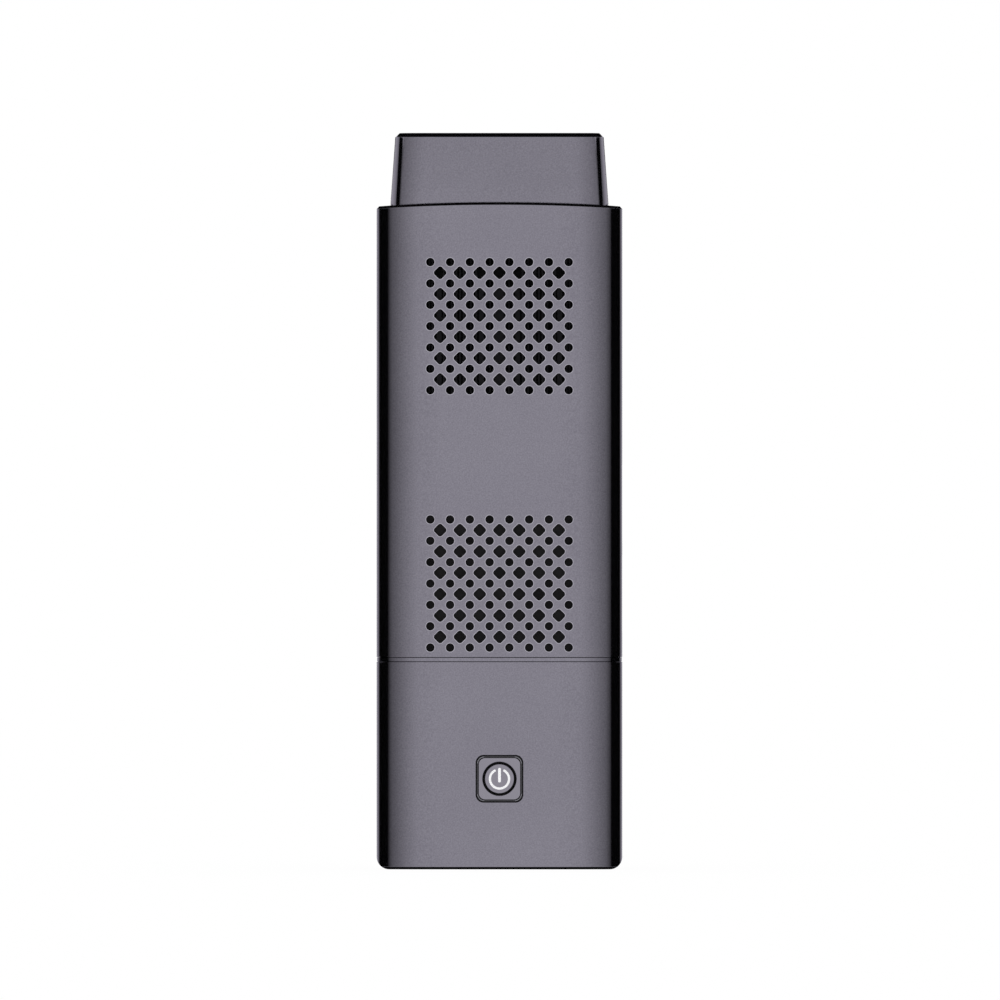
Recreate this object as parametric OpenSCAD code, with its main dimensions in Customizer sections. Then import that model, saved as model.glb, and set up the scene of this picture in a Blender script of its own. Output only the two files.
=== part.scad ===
// Stick computer with a capped video plug.
// The stick stands on its flat base: Z runs up its length, X across its width
// and -Y is the vented face. All sizes are in millimetres.

/* [Housing] */
// Width of the housing
body_w = 40; // [38:0.5:44]
// Thickness of the housing
body_t = 14; // [13.5:0.5:17]
// Height of the housing at the middle of its top rim
body_h = 108.5; // [107:0.5:116]
// Radius of the bow of the top rim
rim_r = 310; // [220:10:600]
// Thickness of the housing wall
wall = 2; // [1.8:0.1:2.2]
// Radius of the long edges
edge_r = 3.6; // [3.4:0.1:4]
// Radius of the shoulders between the flat faces and the long edges
shoulder_r = 18; // [12:1:20]
// Radius of the bottom corners seen from the front
corner_r = 1.6; // [1:0.1:2.4]
// Rounding of the bottom edge, front and back
base_r = 0.5; // [0.3:0.1:1]
// Thickness of the floor of the tail cover
floor_t = 2.2; // [1.6:0.1:2.6]

/* [Seam] */
// Height of the middle of the groove round the housing
seam_z = 34.12; // [33:0.01:34.6]
// Width of the groove
seam_w = 0.82; // [0.4:0.02:1]
// Depth of the groove
seam_d = 0.36; // [0.2:0.02:0.6]
// Height of the neck that the covers close round
neck_h = 3.2; // [2.6:0.1:3.3]
// Wall of the neck
neck_wall = 0.9; // [0.8:0.1:1.1]
// How far the snap bead stands out from the neck
bead_d = 0.3; // [0.2:0.05:0.4]
// Height of the snap bead
bead_h = 0.8; // [0.6:0.1:1.2]
// Overlap of the lip where the covers meet
lip_h = 1; // [0.8:0.1:1.4]
// Open line between the covers
part_gap = 0.12; // [0.05:0.01:0.2]
// Clearance between pieces that fit together
fit = 0.1; // [0.05:0.05:0.15]

/* [Vents] */
// Columns of round holes in a vent field
vent_cols = 8; // [4:1:8]
// Rows of round holes in a vent field
vent_rows = 7; // [3:1:7]
// Spacing of the columns
vent_pitch_x = 3.218; // [3:0.002:3.3]
// Spacing of the rows
vent_pitch_z = 3.474; // [3.2:0.002:3.5]
// Diameter of a round hole
vent_hole_d = 1.24; // [0.8:0.02:1.5]
// Side of a rounded-diamond hole
vent_diamond = 1.58; // [1:0.02:1.7]
// Corner radius of a rounded-diamond hole
vent_diamond_r = 0.4; // [0.2:0.02:0.48]
// Middle of the upper vents below the rim
upper_vent_drop = 20.1; // [18:0.1:24]
// Middle of the lower vents above the groove
lower_vent_rise = 12.4; // [12.2:0.05:16]

/* [Plug cap] */
// Height of the cap above the rim
cap_rise = 11.5; // [11.2:0.1:15]
// Depth of the cap's skirt inside the rim
cap_skirt = 1.8; // [1:0.1:1.8]
// Gap between the cap and the rim at the sides
cap_side_gap = 0.25; // [0.15:0.05:0.5]
// Gap between the cap and the rim at the faces
cap_face_gap = 0.15; // [0.1:0.05:0.2]
// How far each side of the cap leans in to the top
cap_side_lean = 0.8; // [0.3:0.1:2]
// How far each face of the cap leans in to the top
cap_face_lean = 0.6; // [0.4:0.1:1.2]
// Wall of the cap
cap_wall = 1.15; // [1:0.05:1.2]
// Radius of the cap's long edges
cap_edge_r = 1.2; // [0.8:0.1:1.3]
// Radius of the shoulders beside the cap's faces
cap_shoulder_r = 14; // [8:1:16]
// Rounding of the top of the cap
cap_top_r = 0.5; // [0.3:0.1:1]
// Thickness of the ribs that grip the plug
cap_rib_t = 1; // [0.6:0.1:1.6]
// Spacing of the two ribs on a face
cap_rib_pitch = 8; // [5:0.5:10]

/* [Power button] */
// Height of the middle of the button
button_z = 14.7; // [12:0.1:18]
// Diameter of the button
button_d = 4.8; // [4:0.1:5]
// Open ring round the button
button_gap = 0.4; // [0.2:0.02:0.42]
// Side of the square frame round the button
frame_w = 6.66; // [6.4:0.02:7]
// Corner radius of the square frame
frame_r = 1; // [0.6:0.1:1.2]
// Width of the groove round the frame
frame_gap = 0.55; // [0.4:0.05:0.8]
// Depth of the groove round the frame
frame_groove = 0.5; // [0.3:0.05:0.9]
// How far the frame and button sit below the face
frame_sink = 0.05; // [0.02:0.01:0.2]
// Flange of the frame behind the wall
frame_flange = 1.2; // [0.8:0.1:1.6]
// Travel of the button
button_travel = 0.3; // [0.2:0.05:0.4]

/* [Board] */
// Thickness of the circuit board
board_t = 1.2; // [1:0.1:1.3]
// Side gap between the board and the neck
board_gap = 0.5; // [0.4:0.1:0.8]
// Gap between the floor and the foot of the board
board_foot = 0.8; // [0.4:0.1:1.2]
// Gap between the end plate and the board
board_end_gap = 0.2; // [0.1:0.1:0.4]
// Side of the processor
cpu_w = 16; // [14:0.5:18]
// Thickness of the processor
cpu_t = 1.3; // [1.1:0.1:1.4]
// Thickness of the thermal pad
pad_t = 0.3; // [0.2:0.1:0.4]
// Width of a memory chip
mem_w = 11; // [9:0.5:11]
// Length of a memory chip
mem_l = 9; // [7:0.5:9]
// Thickness of a memory chip
mem_t = 1.1; // [0.8:0.1:1.3]
// Gap between the memory chips
mem_gap = 1.4; // [1:0.1:1.4]
// Width of the storage chip
store_w = 11.5; // [9:0.5:12]
// Length of the storage chip
store_l = 13; // [10:0.5:13]
// Thickness of the storage chip
store_t = 1; // [0.8:0.1:1.2]
// Side of the power chip
power_chip_w = 7; // [5:0.5:8]
// Thickness of the power chip
power_chip_t = 0.9; // [0.7:0.1:1.1]
// Gap between the power inlet and the power chip
power_chip_gap = 2.4; // [1.5:0.1:3]
// Side of a power coil
coil_w = 4; // [3:0.5:4]
// Height of a power coil
coil_t = 2; // [1.4:0.1:2.1]
// Gap between the power coils
coil_gap = 1; // [0.6:0.1:1.2]
// Gap between the power coils and the edge of the board
coil_edge = 1.9; // [1.5:0.1:2.4]
// Width of the radio module
wifi_w = 14; // [12:0.5:16]
// Length of the radio module
wifi_l = 13; // [11:0.5:13.5]
// Thickness of the radio module's board
wifi_t = 0.7; // [0.5:0.1:0.9]
// Height of the radio module's tin cover
wifi_can_h = 1.2; // [0.9:0.1:1.4]
// Height of the radio module above the button
wifi_rise = 12; // [11:0.5:12.5]

/* [Heat sink] */
// Width of the heat sink
sink_w = 30.8; // [30.2:0.2:31.4]
// Gap between the heat sink and the screw bosses
sink_gap = 0.3; // [0.2:0.1:0.6]
// Thickness of the heat sink's base
sink_base = 1; // [0.8:0.1:1]
// Height of the fins
fin_h = 1.1; // [0.7:0.1:1.2]
// Thickness of the fins
fin_t = 0.6; // [0.4:0.05:0.9]
// Thickness of the broad middle fin
fin_mid_t = 1.3; // [0.6:0.1:1.6]

/* [Video plug] */
// Width of the plug
plug_w = 13.9; // [13.5:0.1:14.2]
// Thickness of the plug
plug_t = 4.45; // [4.2:0.05:4.5]
// Reach of the plug beyond the end plate
plug_reach = 11.75; // [10:0.05:11.8]
// Thickness of the plug's sheet
plug_sheet = 0.35; // [0.3:0.05:0.4]
// Spacing of the plug's contacts
plug_pitch = 1; // [0.9:0.05:1]
// Depth of the mouth above the end plate
mouth_d = 1.9; // [1.85:0.05:2.2]
// Thickness of the end plate
plate_t = 1.4; // [1:0.1:1.5]
// How far the end plate seats into the wall
plate_seat = 0.8; // [0.5:0.1:1]

/* [Data ports] */
// Width of a data port's opening
port_w = 12.5; // [12:0.1:12.8]
// Height of a data port's opening
port_t = 5.12; // [4.9:0.02:5.2]
// Depth of a data port
port_l = 13.8; // [12:0.1:14]
// Sheet of the connector shells
sheet = 0.3; // [0.2:0.05:0.35]
// How far the ports sit inside the side faces
port_inset = 0.7; // [0.4:0.1:1]
// Gap between the neck and the lower data port
port_rise = 0.5; // [0.3:0.1:1.5]
// Gap between the two data ports
port_gap = 1.7; // [1.2:0.1:3]
// Thickness of the tongue in a data port
tongue_t = 1.84; // [1.6:0.02:2]

/* [Power inlet and card slot] */
// Width of the power inlet
inlet_w = 7.5; // [7:0.1:8]
// Height of the power inlet
inlet_t = 2.7; // [2.4:0.1:2.9]
// Depth of the power inlet
inlet_l = 5.2; // [4.8:0.1:6]
// Gap between the neck and the power inlet
inlet_rise = 1.9; // [0.6:0.1:3]
// Width of the memory-card slot
card_w = 11.6; // [11.2:0.1:12]
// Gap between the power inlet and the card slot
card_gap = 3.8; // [2:0.1:5]
// Depth of the card slot
card_l = 14.6; // [13:0.1:15.4]
// Thickness of the card slot's case
card_t = 1.7; // [1.6:0.1:2]

/* [Screws] */
// Distance of the case screws from the side faces
screw_side = 5.8; // [5.7:0.1:6.6]
// Gap between the upper data port and the lower screw bosses
screw_rise = 3.4; // [2:0.1:3.6]
// Diameter of the case screws
screw_d = 1.9; // [1.6:0.1:2]
// Diameter of the screw heads
screw_head_d = 3.6; // [3:0.1:3.8]
// Height of the screw heads
screw_head_h = 1.2; // [0.8:0.1:1.3]
// Diameter of the bosses for the case screws
boss_d = 4.4; // [4:0.1:4.6]

/* [Hidden] */

$fn = 96;
far = 300;
paint = "#827f8a";
// Overlap that fuses a boss, neck or guide to its wall
weld = 0.5;
// How far a cutter stands clear of what it cuts
past = 1;
// Shift of a 45-degree corner for each unit of inset
miter = tan(22.5);

// Half sizes of the housing and the levels up its length
half_w = body_w / 2;
half_t = body_t / 2;
inner_t = half_t - wall;
seam_lo = seam_z - seam_w / 2;
seam_hi = seam_z + seam_w / 2;
neck_top = seam_hi + neck_h;
neck_out = wall + fit;
neck_in = neck_out + neck_wall;
plate_hi = body_h - mouth_d;
plate_lo = plate_hi - plate_t;
upper_vent_z = body_h - upper_vent_drop;
lower_vent_z = seam_z + lower_vent_rise;
vent_half_w = (vent_cols - 1) * vent_pitch_x / 2 + vent_hole_d;

// Section of the housing: flat faces, wide shoulders and tight long edges, each tangent to
// the next. The shoulders end on the slope of a 7-24-25 triangle.
lean_sin = 0.28;
lean_cos = 0.96;
flat_x = half_w - shoulder_r * lean_sin - edge_r * (1 - lean_sin);
shoulder_c = [flat_x, half_t - shoulder_r];
edge_c = shoulder_c + (shoulder_r - edge_r) * [lean_sin, lean_cos];

// Side connectors
port_back = half_w - port_inset - port_l;
port_front = half_w - port_inset;
port_half_t = port_t / 2 + sheet;
port_half_w = port_w / 2 + sheet;
lower_port_z = neck_top + port_rise + port_half_w;
port_zs = [lower_port_z, lower_port_z + 2 * port_half_w + port_gap];
port_top = port_zs[1] + port_half_w;
port_corner = 0.3;
tongue_y = -port_t / 2 + 0.72;
tongue_root = port_back + 3;
tongue_tip = port_front - 1.3;
tongue_w = 11.1;
port_contact_w = 1;
port_contact_t = 0.12;
inlet_front = half_w - port_inset;
inlet_back = inlet_front - inlet_l;
inlet_sheet = 0.25;
inlet_cut = 1;
inlet_cut_y = 0.3;
inlet_block = 1.4;
inlet_tongue_w = 3.8;
inlet_tongue_t = 0.7;
inlet_pitch = 0.65;
inlet_contact_w = 0.4;
inlet_z = neck_top + inlet_rise + inlet_w / 2;
card_front = half_w - wall - 0.2;
card_back = card_front - card_l;
card_case_w = card_w + 2.4;
card_z = inlet_z + inlet_w / 2 + card_gap + card_case_w / 2;
card_sheet = 0.2;
card_base_t = 0.45;
card_pitch = 1.1;
card_contact_w = 0.6;
film_t = 0.2;
film_margin = 0.6;

// Board and the stack on its front
board_face = board_t / 2;
board_x = half_w - neck_in - board_gap;
board_lo = floor_t + board_foot;
board_hi = plate_lo - board_end_gap;
cpu_face = board_face + cpu_t;
sink_back = cpu_face + pad_t;
sink_front = sink_back + sink_base;
screw_x = half_w - screw_side;
screw_hi = plate_lo - boss_d / 2 - board_end_gap;
screw_lo = port_top + screw_rise + boss_d / 2;
screw_zs = [screw_hi, screw_lo];
sink_hi = screw_hi - boss_d / 2 - sink_gap;
sink_lo = screw_lo + boss_d / 2 + sink_gap;
sink_l = sink_hi - sink_lo;
sink_z = (sink_hi + sink_lo) / 2;
sink_head_d = 2.8;
sink_head_h = 0.6;
stand_d = 3;
stand_edge_x = 1.8;
stand_edge_z = 2;
stand_x = sink_w / 2 - stand_edge_x;
stand_z = sink_l / 2 - stand_edge_z;
stand_bore = 1.7;
stand_web = 0.2;

// Small parts on the board
capacitor_w = 0.8;
capacitor_l = 1.6;
capacitor_pitch = 3;
capacitor_gap = 1.1;
crystal_w = 3.2;
crystal_l = 2.5;
crystal_t = 0.8;
antenna_w = 7;
antenna_l = 2;
antenna_t = 1.2;
wifi_margin = 0.8;

// Video plug
plug_tip = plate_hi + plug_reach;
plug_root = board_hi - 4;
plug_slot_d = 8;
plug_slot_w = 11.4;
plug_slot_t = 1.9;
plug_slot_y = -0.2;
plug_face = plug_tip - 0.8;
plug_corner = 0.25;
plug_step = 1.3;
plug_step_lo = 0.55;
plug_step_hi = 1.85;
plug_contact_w = 0.5;
plug_contact_t = 0.2;
latch_x = 3.4;
latch_w = 1.6;
latch_drop = 5.4;
collar_h = 0.5;
collar_w = 0.8;

// Cap outline at the rim and at the top
cap_lo = body_h - cap_skirt;
cap_hi = body_h + cap_rise;
cap_w0 = half_w - wall - cap_side_gap;
cap_t0 = inner_t - cap_face_gap;
cap_roof = 0.9;
cap_rib_rise = 0.5;

// Case screws
screw_sink = 0.4;
screw_web = 1.2;
head_seat = half_t - screw_head_h - screw_sink;
screw_tip = screw_web - inner_t;
recess_arm = 0.4;

// Power button stack, from the face to the board
frame_face = -half_t + frame_sink;
frame_back = -inner_t + frame_flange;
flange_w = 1.2;
key_hole_d = button_d + 2 * button_gap;
switch_w = 4;
switch_l = 3.2;
switch_h = 1.6;
switch_top = -board_face - switch_h;
plunger_d = 1.8;
plunger_h = 0.5;
plunger_top = switch_top - plunger_h;
key_stop_d = key_hole_d + 1;
key_stop_t = 0.5;
key_play = 0.05;
stem_d = plunger_d + 0.4;

// Guides for the board in the tail
guide_half_t = 1.8;
guide_grip = 0.4;

// Lays a shape drawn in X and Z down along Y
module along_y(y0, y1) {
    translate([0, y1, 0])
        rotate([90, 0, 0])
            linear_extrude(y1 - y0)
                children();
}

// Lays a shape drawn in Y and Z down along X
module along_x(x0, x1) {
    translate([x0, 0, 0])
        rotate([90, 0, 90])
            linear_extrude(x1 - x0)
                children();
}

// Round bar along Y
module bar_y(d, y0, y1) {
    along_y(y0, y1)
        circle(d = d);
}

// Block between two opposite corners
module block(a, b) {
    translate(a)
        cube(b - a);
}

// Piece of a disc outside the chord from p to q
module bulge(p, q, c, r) {
    m = (p + q) / 2;
    d = norm(m - c);
    u = (m - c) / d;
    reach = 2 * (r - d);
    intersection() {
        translate(c)
            circle(r);
        polygon([p, q, q + u * reach, p + u * reach]);
    }
}

// Rectangle with rounded corners
module rounded(w, h, r) {
    x = w / 2;
    y = h / 2;
    polygon([
        [x - r, -y], [x, r - y], [x, y - r], [x - r, y],
        [r - x, y], [-x, y - r], [-x, r - y], [r - x, -y]
    ]);
    for (i = [-1, 1], j = [-1, 1])
        bulge([i * x, j * (y - r)], [i * (x - r), j * y], [i * (x - r), j * (y - r)], r);
}

// Housing section, moved inwards by inset
module section(inset = 0) {
    p = [flat_x, half_t - inset];
    q = shoulder_c + (shoulder_r - inset) * [lean_sin, lean_cos];
    s = edge_c + [edge_r - inset, 0];
    polygon([
        p, q, s, [s[0], -s[1]], [q[0], -q[1]], [p[0], -p[1]],
        -p, -q, -s, [-s[0], s[1]], [-q[0], q[1]], [-p[0], p[1]]
    ]);
    for (i = [-1, 1], j = [-1, 1]) {
        k = [[i, 0], [0, j]];
        bulge(k * p, k * q, k * shoulder_c, shoulder_r - inset);
        bulge(k * q, k * s, k * edge_c, edge_r - inset);
    }
}

// Housing section as a solid between two levels
module prism(inset, z0, z1) {
    translate([0, 0, z0])
        linear_extrude(z1 - z0)
            section(inset);
}

// Half plane on the front or the rear side of the line y
module half_plane(y, side) {
    translate([-far / 2, side > 0 ? y : y - far])
        square(far);
}

// One vent field: round holes on a grid, rounded diamonds between them
module vent_field(z) {
    translate([0, z]) {
        for (i = [0 : vent_cols - 1], j = [0 : vent_rows - 1])
            translate([(i - (vent_cols - 1) / 2) * vent_pitch_x,
                       (j - (vent_rows - 1) / 2) * vent_pitch_z])
                circle(d = vent_hole_d, $fn = 48);
        for (i = [0 : vent_cols - 2], j = [0 : vent_rows - 2])
            translate([(i - (vent_cols - 2) / 2) * vent_pitch_x,
                       (j - (vent_rows - 2) / 2) * vent_pitch_z])
                rotate(45)
                    rounded(vent_diamond, vent_diamond, vent_diamond_r, $fn = 48);
    }
}

// Holes in the side walls for the ports, the inlet and the card slot
module side_windows() {
    for (z = port_zs)
        along_x(half_w - wall - past, half_w + past)
            translate([0, z])
                rounded(2 * (port_half_t + fit), 2 * (port_half_w + fit), port_corner + sheet + fit);
    along_x(-half_w - past, wall + past - half_w)
        translate([0, inlet_z])
            rounded(inlet_t + 2 * fit, inlet_w + 2 * fit, inlet_cut / 2);
    along_x(-half_w - past, wall + past - half_w)
        translate([board_face + card_base_t + (card_t - card_base_t) / 2, card_z])
            rounded(card_t - card_base_t, card_w + 2 * fit, port_corner);
}

// What both covers lose: the bow of the rim, the seat of the end plate, the side windows
module cover_cuts() {
    along_y(-far / 2, far / 2)
        difference() {
            translate([-far / 2, body_h - wall - half_t])
                square([far, body_t]);
            translate([0, body_h - rim_r])
                circle(rim_r, $fn = 256);
        }
    prism(wall - plate_seat - fit, plate_lo - fit, plate_hi + fit);
    side_windows();
}

// Groove inside the covers for the snap bead of the neck
module bead_groove() {
    z = (seam_hi + neck_top) / 2;
    prism(neck_out - bead_d - fit, z - bead_h / 2 - fit, z + bead_h / 2 + fit);
}

// Front half of the housing with its vents, lip and screw bosses
module front_cover() {
    color(paint)
        difference() {
            union() {
                translate([0, 0, seam_hi])
                    linear_extrude(body_h - seam_hi)
                        difference() {
                            section();
                            section(wall);
                            half_plane(lip_h, 1);
                            difference() {
                                half_plane(0, 1);
                                section(wall / 2 + fit);
                            }
                        }
                for (x = [-screw_x, screw_x], z = screw_zs)
                    translate([x, 0, z])
                        bar_y(boss_d, -inner_t - weld, -board_face);
            }
            cover_cuts();
            difference() {
                bead_groove();
                block([-vent_half_w, -half_t, seam_lo], [vent_half_w, 0, neck_top]);
            }
            along_y(-half_t - past, weld - inner_t) {
                vent_field(upper_vent_z);
                vent_field(lower_vent_z);
            }
            for (x = [-screw_x, screw_x], z = screw_zs)
                translate([x, 0, z])
                    bar_y(screw_d + fit, screw_tip - 2 * fit, 0);
        }
}

// Plain rear half of the housing with its rebate and countersunk screw bosses
module rear_cover() {
    color(paint)
        difference() {
            union() {
                translate([0, 0, seam_hi])
                    linear_extrude(body_h - seam_hi)
                        difference() {
                            section();
                            section(wall);
                            half_plane(part_gap, -1);
                            difference() {
                                section(wall / 2);
                                half_plane(lip_h + fit, 1);
                            }
                        }
                for (x = [-screw_x, screw_x], z = screw_zs)
                    translate([x, 0, z])
                        bar_y(boss_d, board_face, inner_t + weld);
            }
            cover_cuts();
            bead_groove();
            for (x = [-screw_x, screw_x], z = screw_zs)
                translate([x, 0, z]) {
                    bar_y(screw_d + 3 * fit, 0, half_t);
                    bar_y(screw_head_d + 4 * fit, head_seat, half_t + past);
                }
        }
}

// One-piece tail below the groove: cup, groove floor and neck with a snap bead
module tail_cover() {
    bead_z = (seam_hi + neck_top) / 2;
    guide_x = half_w - wall + weld;
    color(paint)
        difference() {
            union() {
                difference() {
                    union() {
                        prism(0, 0, seam_lo);
                        prism(seam_d, seam_lo - weld, seam_hi);
                        prism(neck_out, seam_hi - weld, neck_top);
                        prism(neck_out - bead_d, bead_z - bead_h / 2, bead_z + bead_h / 2);
                    }
                    prism(wall, floor_t, seam_lo - wall / 2);
                    prism(neck_in, seam_lo - wall, neck_top + past);
                }
                for (i = [-1, 1])
                    scale([i, 1, 1])
                        block([board_x - guide_grip, -guide_half_t, floor_t - weld],
                              [guide_x, guide_half_t, button_z]);
            }
            block([-board_x - fit, -board_face - fit, board_lo - weld],
                  [board_x + fit, board_face + fit, button_z + past]);
            block([-vent_half_w, -half_t, seam_hi], [vent_half_w, 0, neck_top + past]);
            along_y(-half_t - past, weld - inner_t)
                translate([0, button_z])
                    rounded(frame_w + 2 * frame_gap, frame_w + 2 * frame_gap, frame_r + frame_gap / 2);
            for (i = [-1, 1]) {
                along_y(-half_t - past, half_t + past)
                    bottom_corner(i * half_w, i, corner_r);
                along_x(-half_w - past, half_w + past)
                    bottom_corner(i * half_t, i, base_r);
            }
        }
}

// Waste outside a rounded bottom corner
module bottom_corner(edge, side, r) {
    translate([edge, 0])
        scale([side, 1])
            difference() {
                translate([-r, -past])
                    square(r + past);
                translate([-r, r])
                    circle(r);
            }
}

// Point on an arc at slope a, measured from the face towards the side
function arc_point(c, r, a) = c + r * [sin(a), cos(a)];

// Quarter of the cap's outline: bowed side, tight edge, shoulder, flat face
function cap_quarter(w, t) =
    let (
        a1 = 14,
        a2 = 66,
        side_r = (t - cap_shoulder_r * (1 - cos(a1)) - cap_edge_r * (cos(a1) - cos(a2))) / cos(a2),
        side_c = [w - side_r, 0],
        edge_c = side_c + (side_r - cap_edge_r) * [sin(a2), cos(a2)],
        face_c = edge_c - (cap_shoulder_r - cap_edge_r) * [sin(a1), cos(a1)]
    )
    concat(
        [for (k = [0 : 5]) arc_point(side_c, side_r, 90 - k * (90 - a2) / 5)],
        [for (k = [1 : 4]) arc_point(edge_c, cap_edge_r, a2 - k * (a2 - a1) / 4)],
        [for (k = [1 : 5]) arc_point(face_c, cap_shoulder_r, a1 - k * a1 / 5)]
    );

// Whole outline of the cap at level z
function cap_ring(w, t, z) =
    let (q = cap_quarter(w, t), n = len(q) - 1)
    concat(
        [for (k = [0 : n]) [q[k][0], q[k][1], z]],
        [for (k = [n : -1 : 0]) [-q[k][0], q[k][1], z]],
        [for (k = [1 : n]) [-q[k][0], -q[k][1], z]],
        [for (k = [n : -1 : 1]) [q[k][0], -q[k][1], z]]
    );

// Share of the way from the rim to the top of the cap
function cap_share(z) = max(0, (z - body_h) / cap_rise);
function cap_half_w(z) = cap_w0 - cap_side_lean * cap_share(z);
function cap_half_t(z) = cap_t0 - cap_face_lean * cap_share(z);

// Skin through a list of outlines, closed at both ends
module loft(rings) {
    n = len(rings[0]);
    m = len(rings);
    polyhedron(
        [for (r = rings, p = r) p],
        concat(
            [[for (k = [n - 1 : -1 : 0]) k]],
            [for (j = [0 : m - 2], k = [0 : n - 1], h = [0, 1])
                let (a = j * n + k, b = j * n + (k + 1) % n)
                h == 0 ? [a + n, b, a] : [a + n, b + n, b]],
            [[for (k = [0 : n - 1]) (m - 1) * n + k]]
        )
    );
}

// Hollow tapered cap, one skin from its inner roof down, round the skirt and up to its top
module plug_cap() {
    roof = cap_hi - cap_roof;
    shoulder = cap_hi - cap_top_r;
    grip = plug_t / 2 + fit;
    rib_lo = body_h + cap_rib_rise;
    inside = [for (z = [roof, body_h, cap_lo]) [cap_half_w(z) - cap_wall, cap_half_t(z) - cap_wall, z]];
    outside = [for (z = [cap_lo, body_h, shoulder]) [cap_half_w(z), cap_half_t(z), z]];
    top = [for (a = [30, 60, 90]) [
        cap_half_w(cap_hi) - cap_top_r * (1 - cos(a)),
        cap_half_t(cap_hi) - cap_top_r * (1 - cos(a)),
        shoulder + cap_top_r * sin(a)
    ]];
    color(paint)
        union() {
            loft([for (r = concat(inside, outside, top)) cap_ring(r[0], r[1], r[2])]);
            for (x = [-1, 1] * cap_rib_pitch / 2, j = [-1, 1])
                along_x(x - cap_rib_t / 2, x + cap_rib_t / 2)
                    scale([j, 1])
                        polygon([
                            [grip, rib_lo],
                            [cap_half_t(rib_lo) - cap_wall / 2, rib_lo],
                            [cap_half_t(roof) - cap_wall / 2, roof],
                            [grip, roof]
                        ]);
        }
}

// Plate across the mouth, held in the walls of both covers, with a collar round the plug
module end_plate() {
    color("#2b2b2e")
        difference() {
            union() {
                prism(wall - plate_seat, plate_lo, plate_hi);
                translate([0, 0, plate_lo + plate_t / 2])
                    linear_extrude(plate_t / 2 + collar_h)
                        plug_outline(-fit - collar_w);
            }
            translate([0, 0, plate_lo - past])
                linear_extrude(plate_t + collar_h + 2 * past)
                    plug_outline(-fit);
        }
}

// Square frame round the button, with a flange behind the wall
module button_bezel() {
    neck_w = frame_w + 2 * frame_gap - 2 * fit;
    neck_r = frame_r + frame_gap / 2 - fit / 2;
    color(paint)
        translate([0, 0, button_z])
            difference() {
                union() {
                    along_y(frame_face, -inner_t)
                        rounded(frame_w, frame_w, frame_r);
                    along_y(frame_groove - half_t, frame_back)
                        rounded(neck_w, neck_w, neck_r);
                    along_y(-inner_t, frame_back)
                        rounded(neck_w + 2 * flange_w, neck_w + 2 * flange_w, neck_r);
                }
                bar_y(key_hole_d, -half_t - past, frame_back + past);
            }
}

// Round key with a stop flange and a stem
module power_button() {
    stop = frame_back + key_play;
    color(paint)
        translate([0, 0, button_z]) {
            bar_y(button_d, frame_face, stop + key_stop_t);
            bar_y(key_stop_d, stop, stop + key_stop_t);
            bar_y(stem_d, stop, plunger_top);
        }
}

// Push switch on the board
module switch_body() {
    color("#202124")
        translate([0, 0, button_z])
            difference() {
                block([-switch_w / 2, switch_top, -switch_l / 2], [switch_w / 2, -board_face, switch_l / 2]);
                bar_y(plunger_d + 2 * fit, switch_top - past,
                      switch_top + plunger_h + button_travel + 2 * fit);
            }
}

module switch_plunger() {
    color("#d8d8d4")
        translate([0, 0, button_z])
            bar_y(plunger_d, plunger_top, switch_top + plunger_h);
}

// Circuit board with notches for the connectors and holes for the case screws
module main_board() {
    color("#14402c")
        along_y(-board_face, board_face)
            difference() {
                translate([-board_x, board_lo])
                    square([2 * board_x, board_hi - board_lo]);
                for (z = port_zs)
                    translate([port_back - 2 * fit, z - port_half_w - 2 * fit])
                        square([half_w, 2 * port_half_w + 4 * fit]);
                translate([-inlet_front - past, inlet_z - inlet_w / 2 - 2 * fit])
                    square([inlet_l + past + 2 * fit, inlet_w + 4 * fit]);
                translate([-plug_w / 2 - 2 * fit, plug_root - 2 * fit])
                    square([plug_w + 4 * fit, board_hi - plug_root + past]);
                for (x = [-screw_x, screw_x], z = screw_zs)
                    translate([x, z])
                        circle(d = screw_d + 5 * fit);
            }
}

// Rectangular package on the front of the board
module front_chip(x, z, w, l, t) {
    block([x - w / 2, -board_face - t, z - l / 2], [x + w / 2, -board_face, z + l / 2]);
}

module processor() {
    color("#26272a")
        front_chip(0, sink_z, cpu_w, cpu_w, cpu_t);
}

module thermal_pad() {
    color("#9aa7b0")
        block([-cpu_w / 2, -sink_back, sink_z - cpu_w / 2], [cpu_w / 2, -cpu_face, sink_z + cpu_w / 2]);
}

// Finned plate over the processor: a fin stands behind each column of vents
module heat_sink() {
    fins = 2 * floor((stand_x - sink_head_d / 2 - fit - fin_t / 2) / (vent_pitch_x / 2));
    color("#1b1b1d")
        difference() {
            union() {
                block([-sink_w / 2, -sink_front, sink_lo], [sink_w / 2, -sink_back, sink_hi]);
                for (k = [0 : fins]) {
                    t = k == fins / 2 ? fin_mid_t : fin_t;
                    x = (k - fins / 2) * vent_pitch_x / 2;
                    block([x - t / 2, -sink_front - fin_h, sink_lo],
                          [x + t / 2, -sink_front, sink_hi]);
                }
            }
            for (i = [-1, 1], j = [-1, 1])
                translate([i * stand_x, 0, sink_z + j * stand_z])
                    bar_y(stand_bore, -half_t, 0);
        }
}

module heat_sink_standoffs() {
    color("#b59a5b")
        for (i = [-1, 1], j = [-1, 1])
            translate([i * stand_x, 0, sink_z + j * stand_z])
                difference() {
                    bar_y(stand_d, -sink_back, -board_face);
                    bar_y(stand_bore, -sink_back - past, -board_face - stand_web);
                }
}

module heat_sink_screws() {
    color("#8d9094")
        for (i = [-1, 1], j = [-1, 1])
            translate([i * stand_x, 0, sink_z + j * stand_z])
                difference() {
                    union() {
                        bar_y(sink_head_d, -sink_front - sink_head_h, -sink_front);
                        bar_y(stand_bore - 2 * fit, -sink_front - sink_head_h / 2,
                              -board_face - 2 * stand_web);
                    }
                    cross_recess(-sink_front - sink_head_h, sink_head_h / 2, sink_head_d / 2);
                }
}

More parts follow.
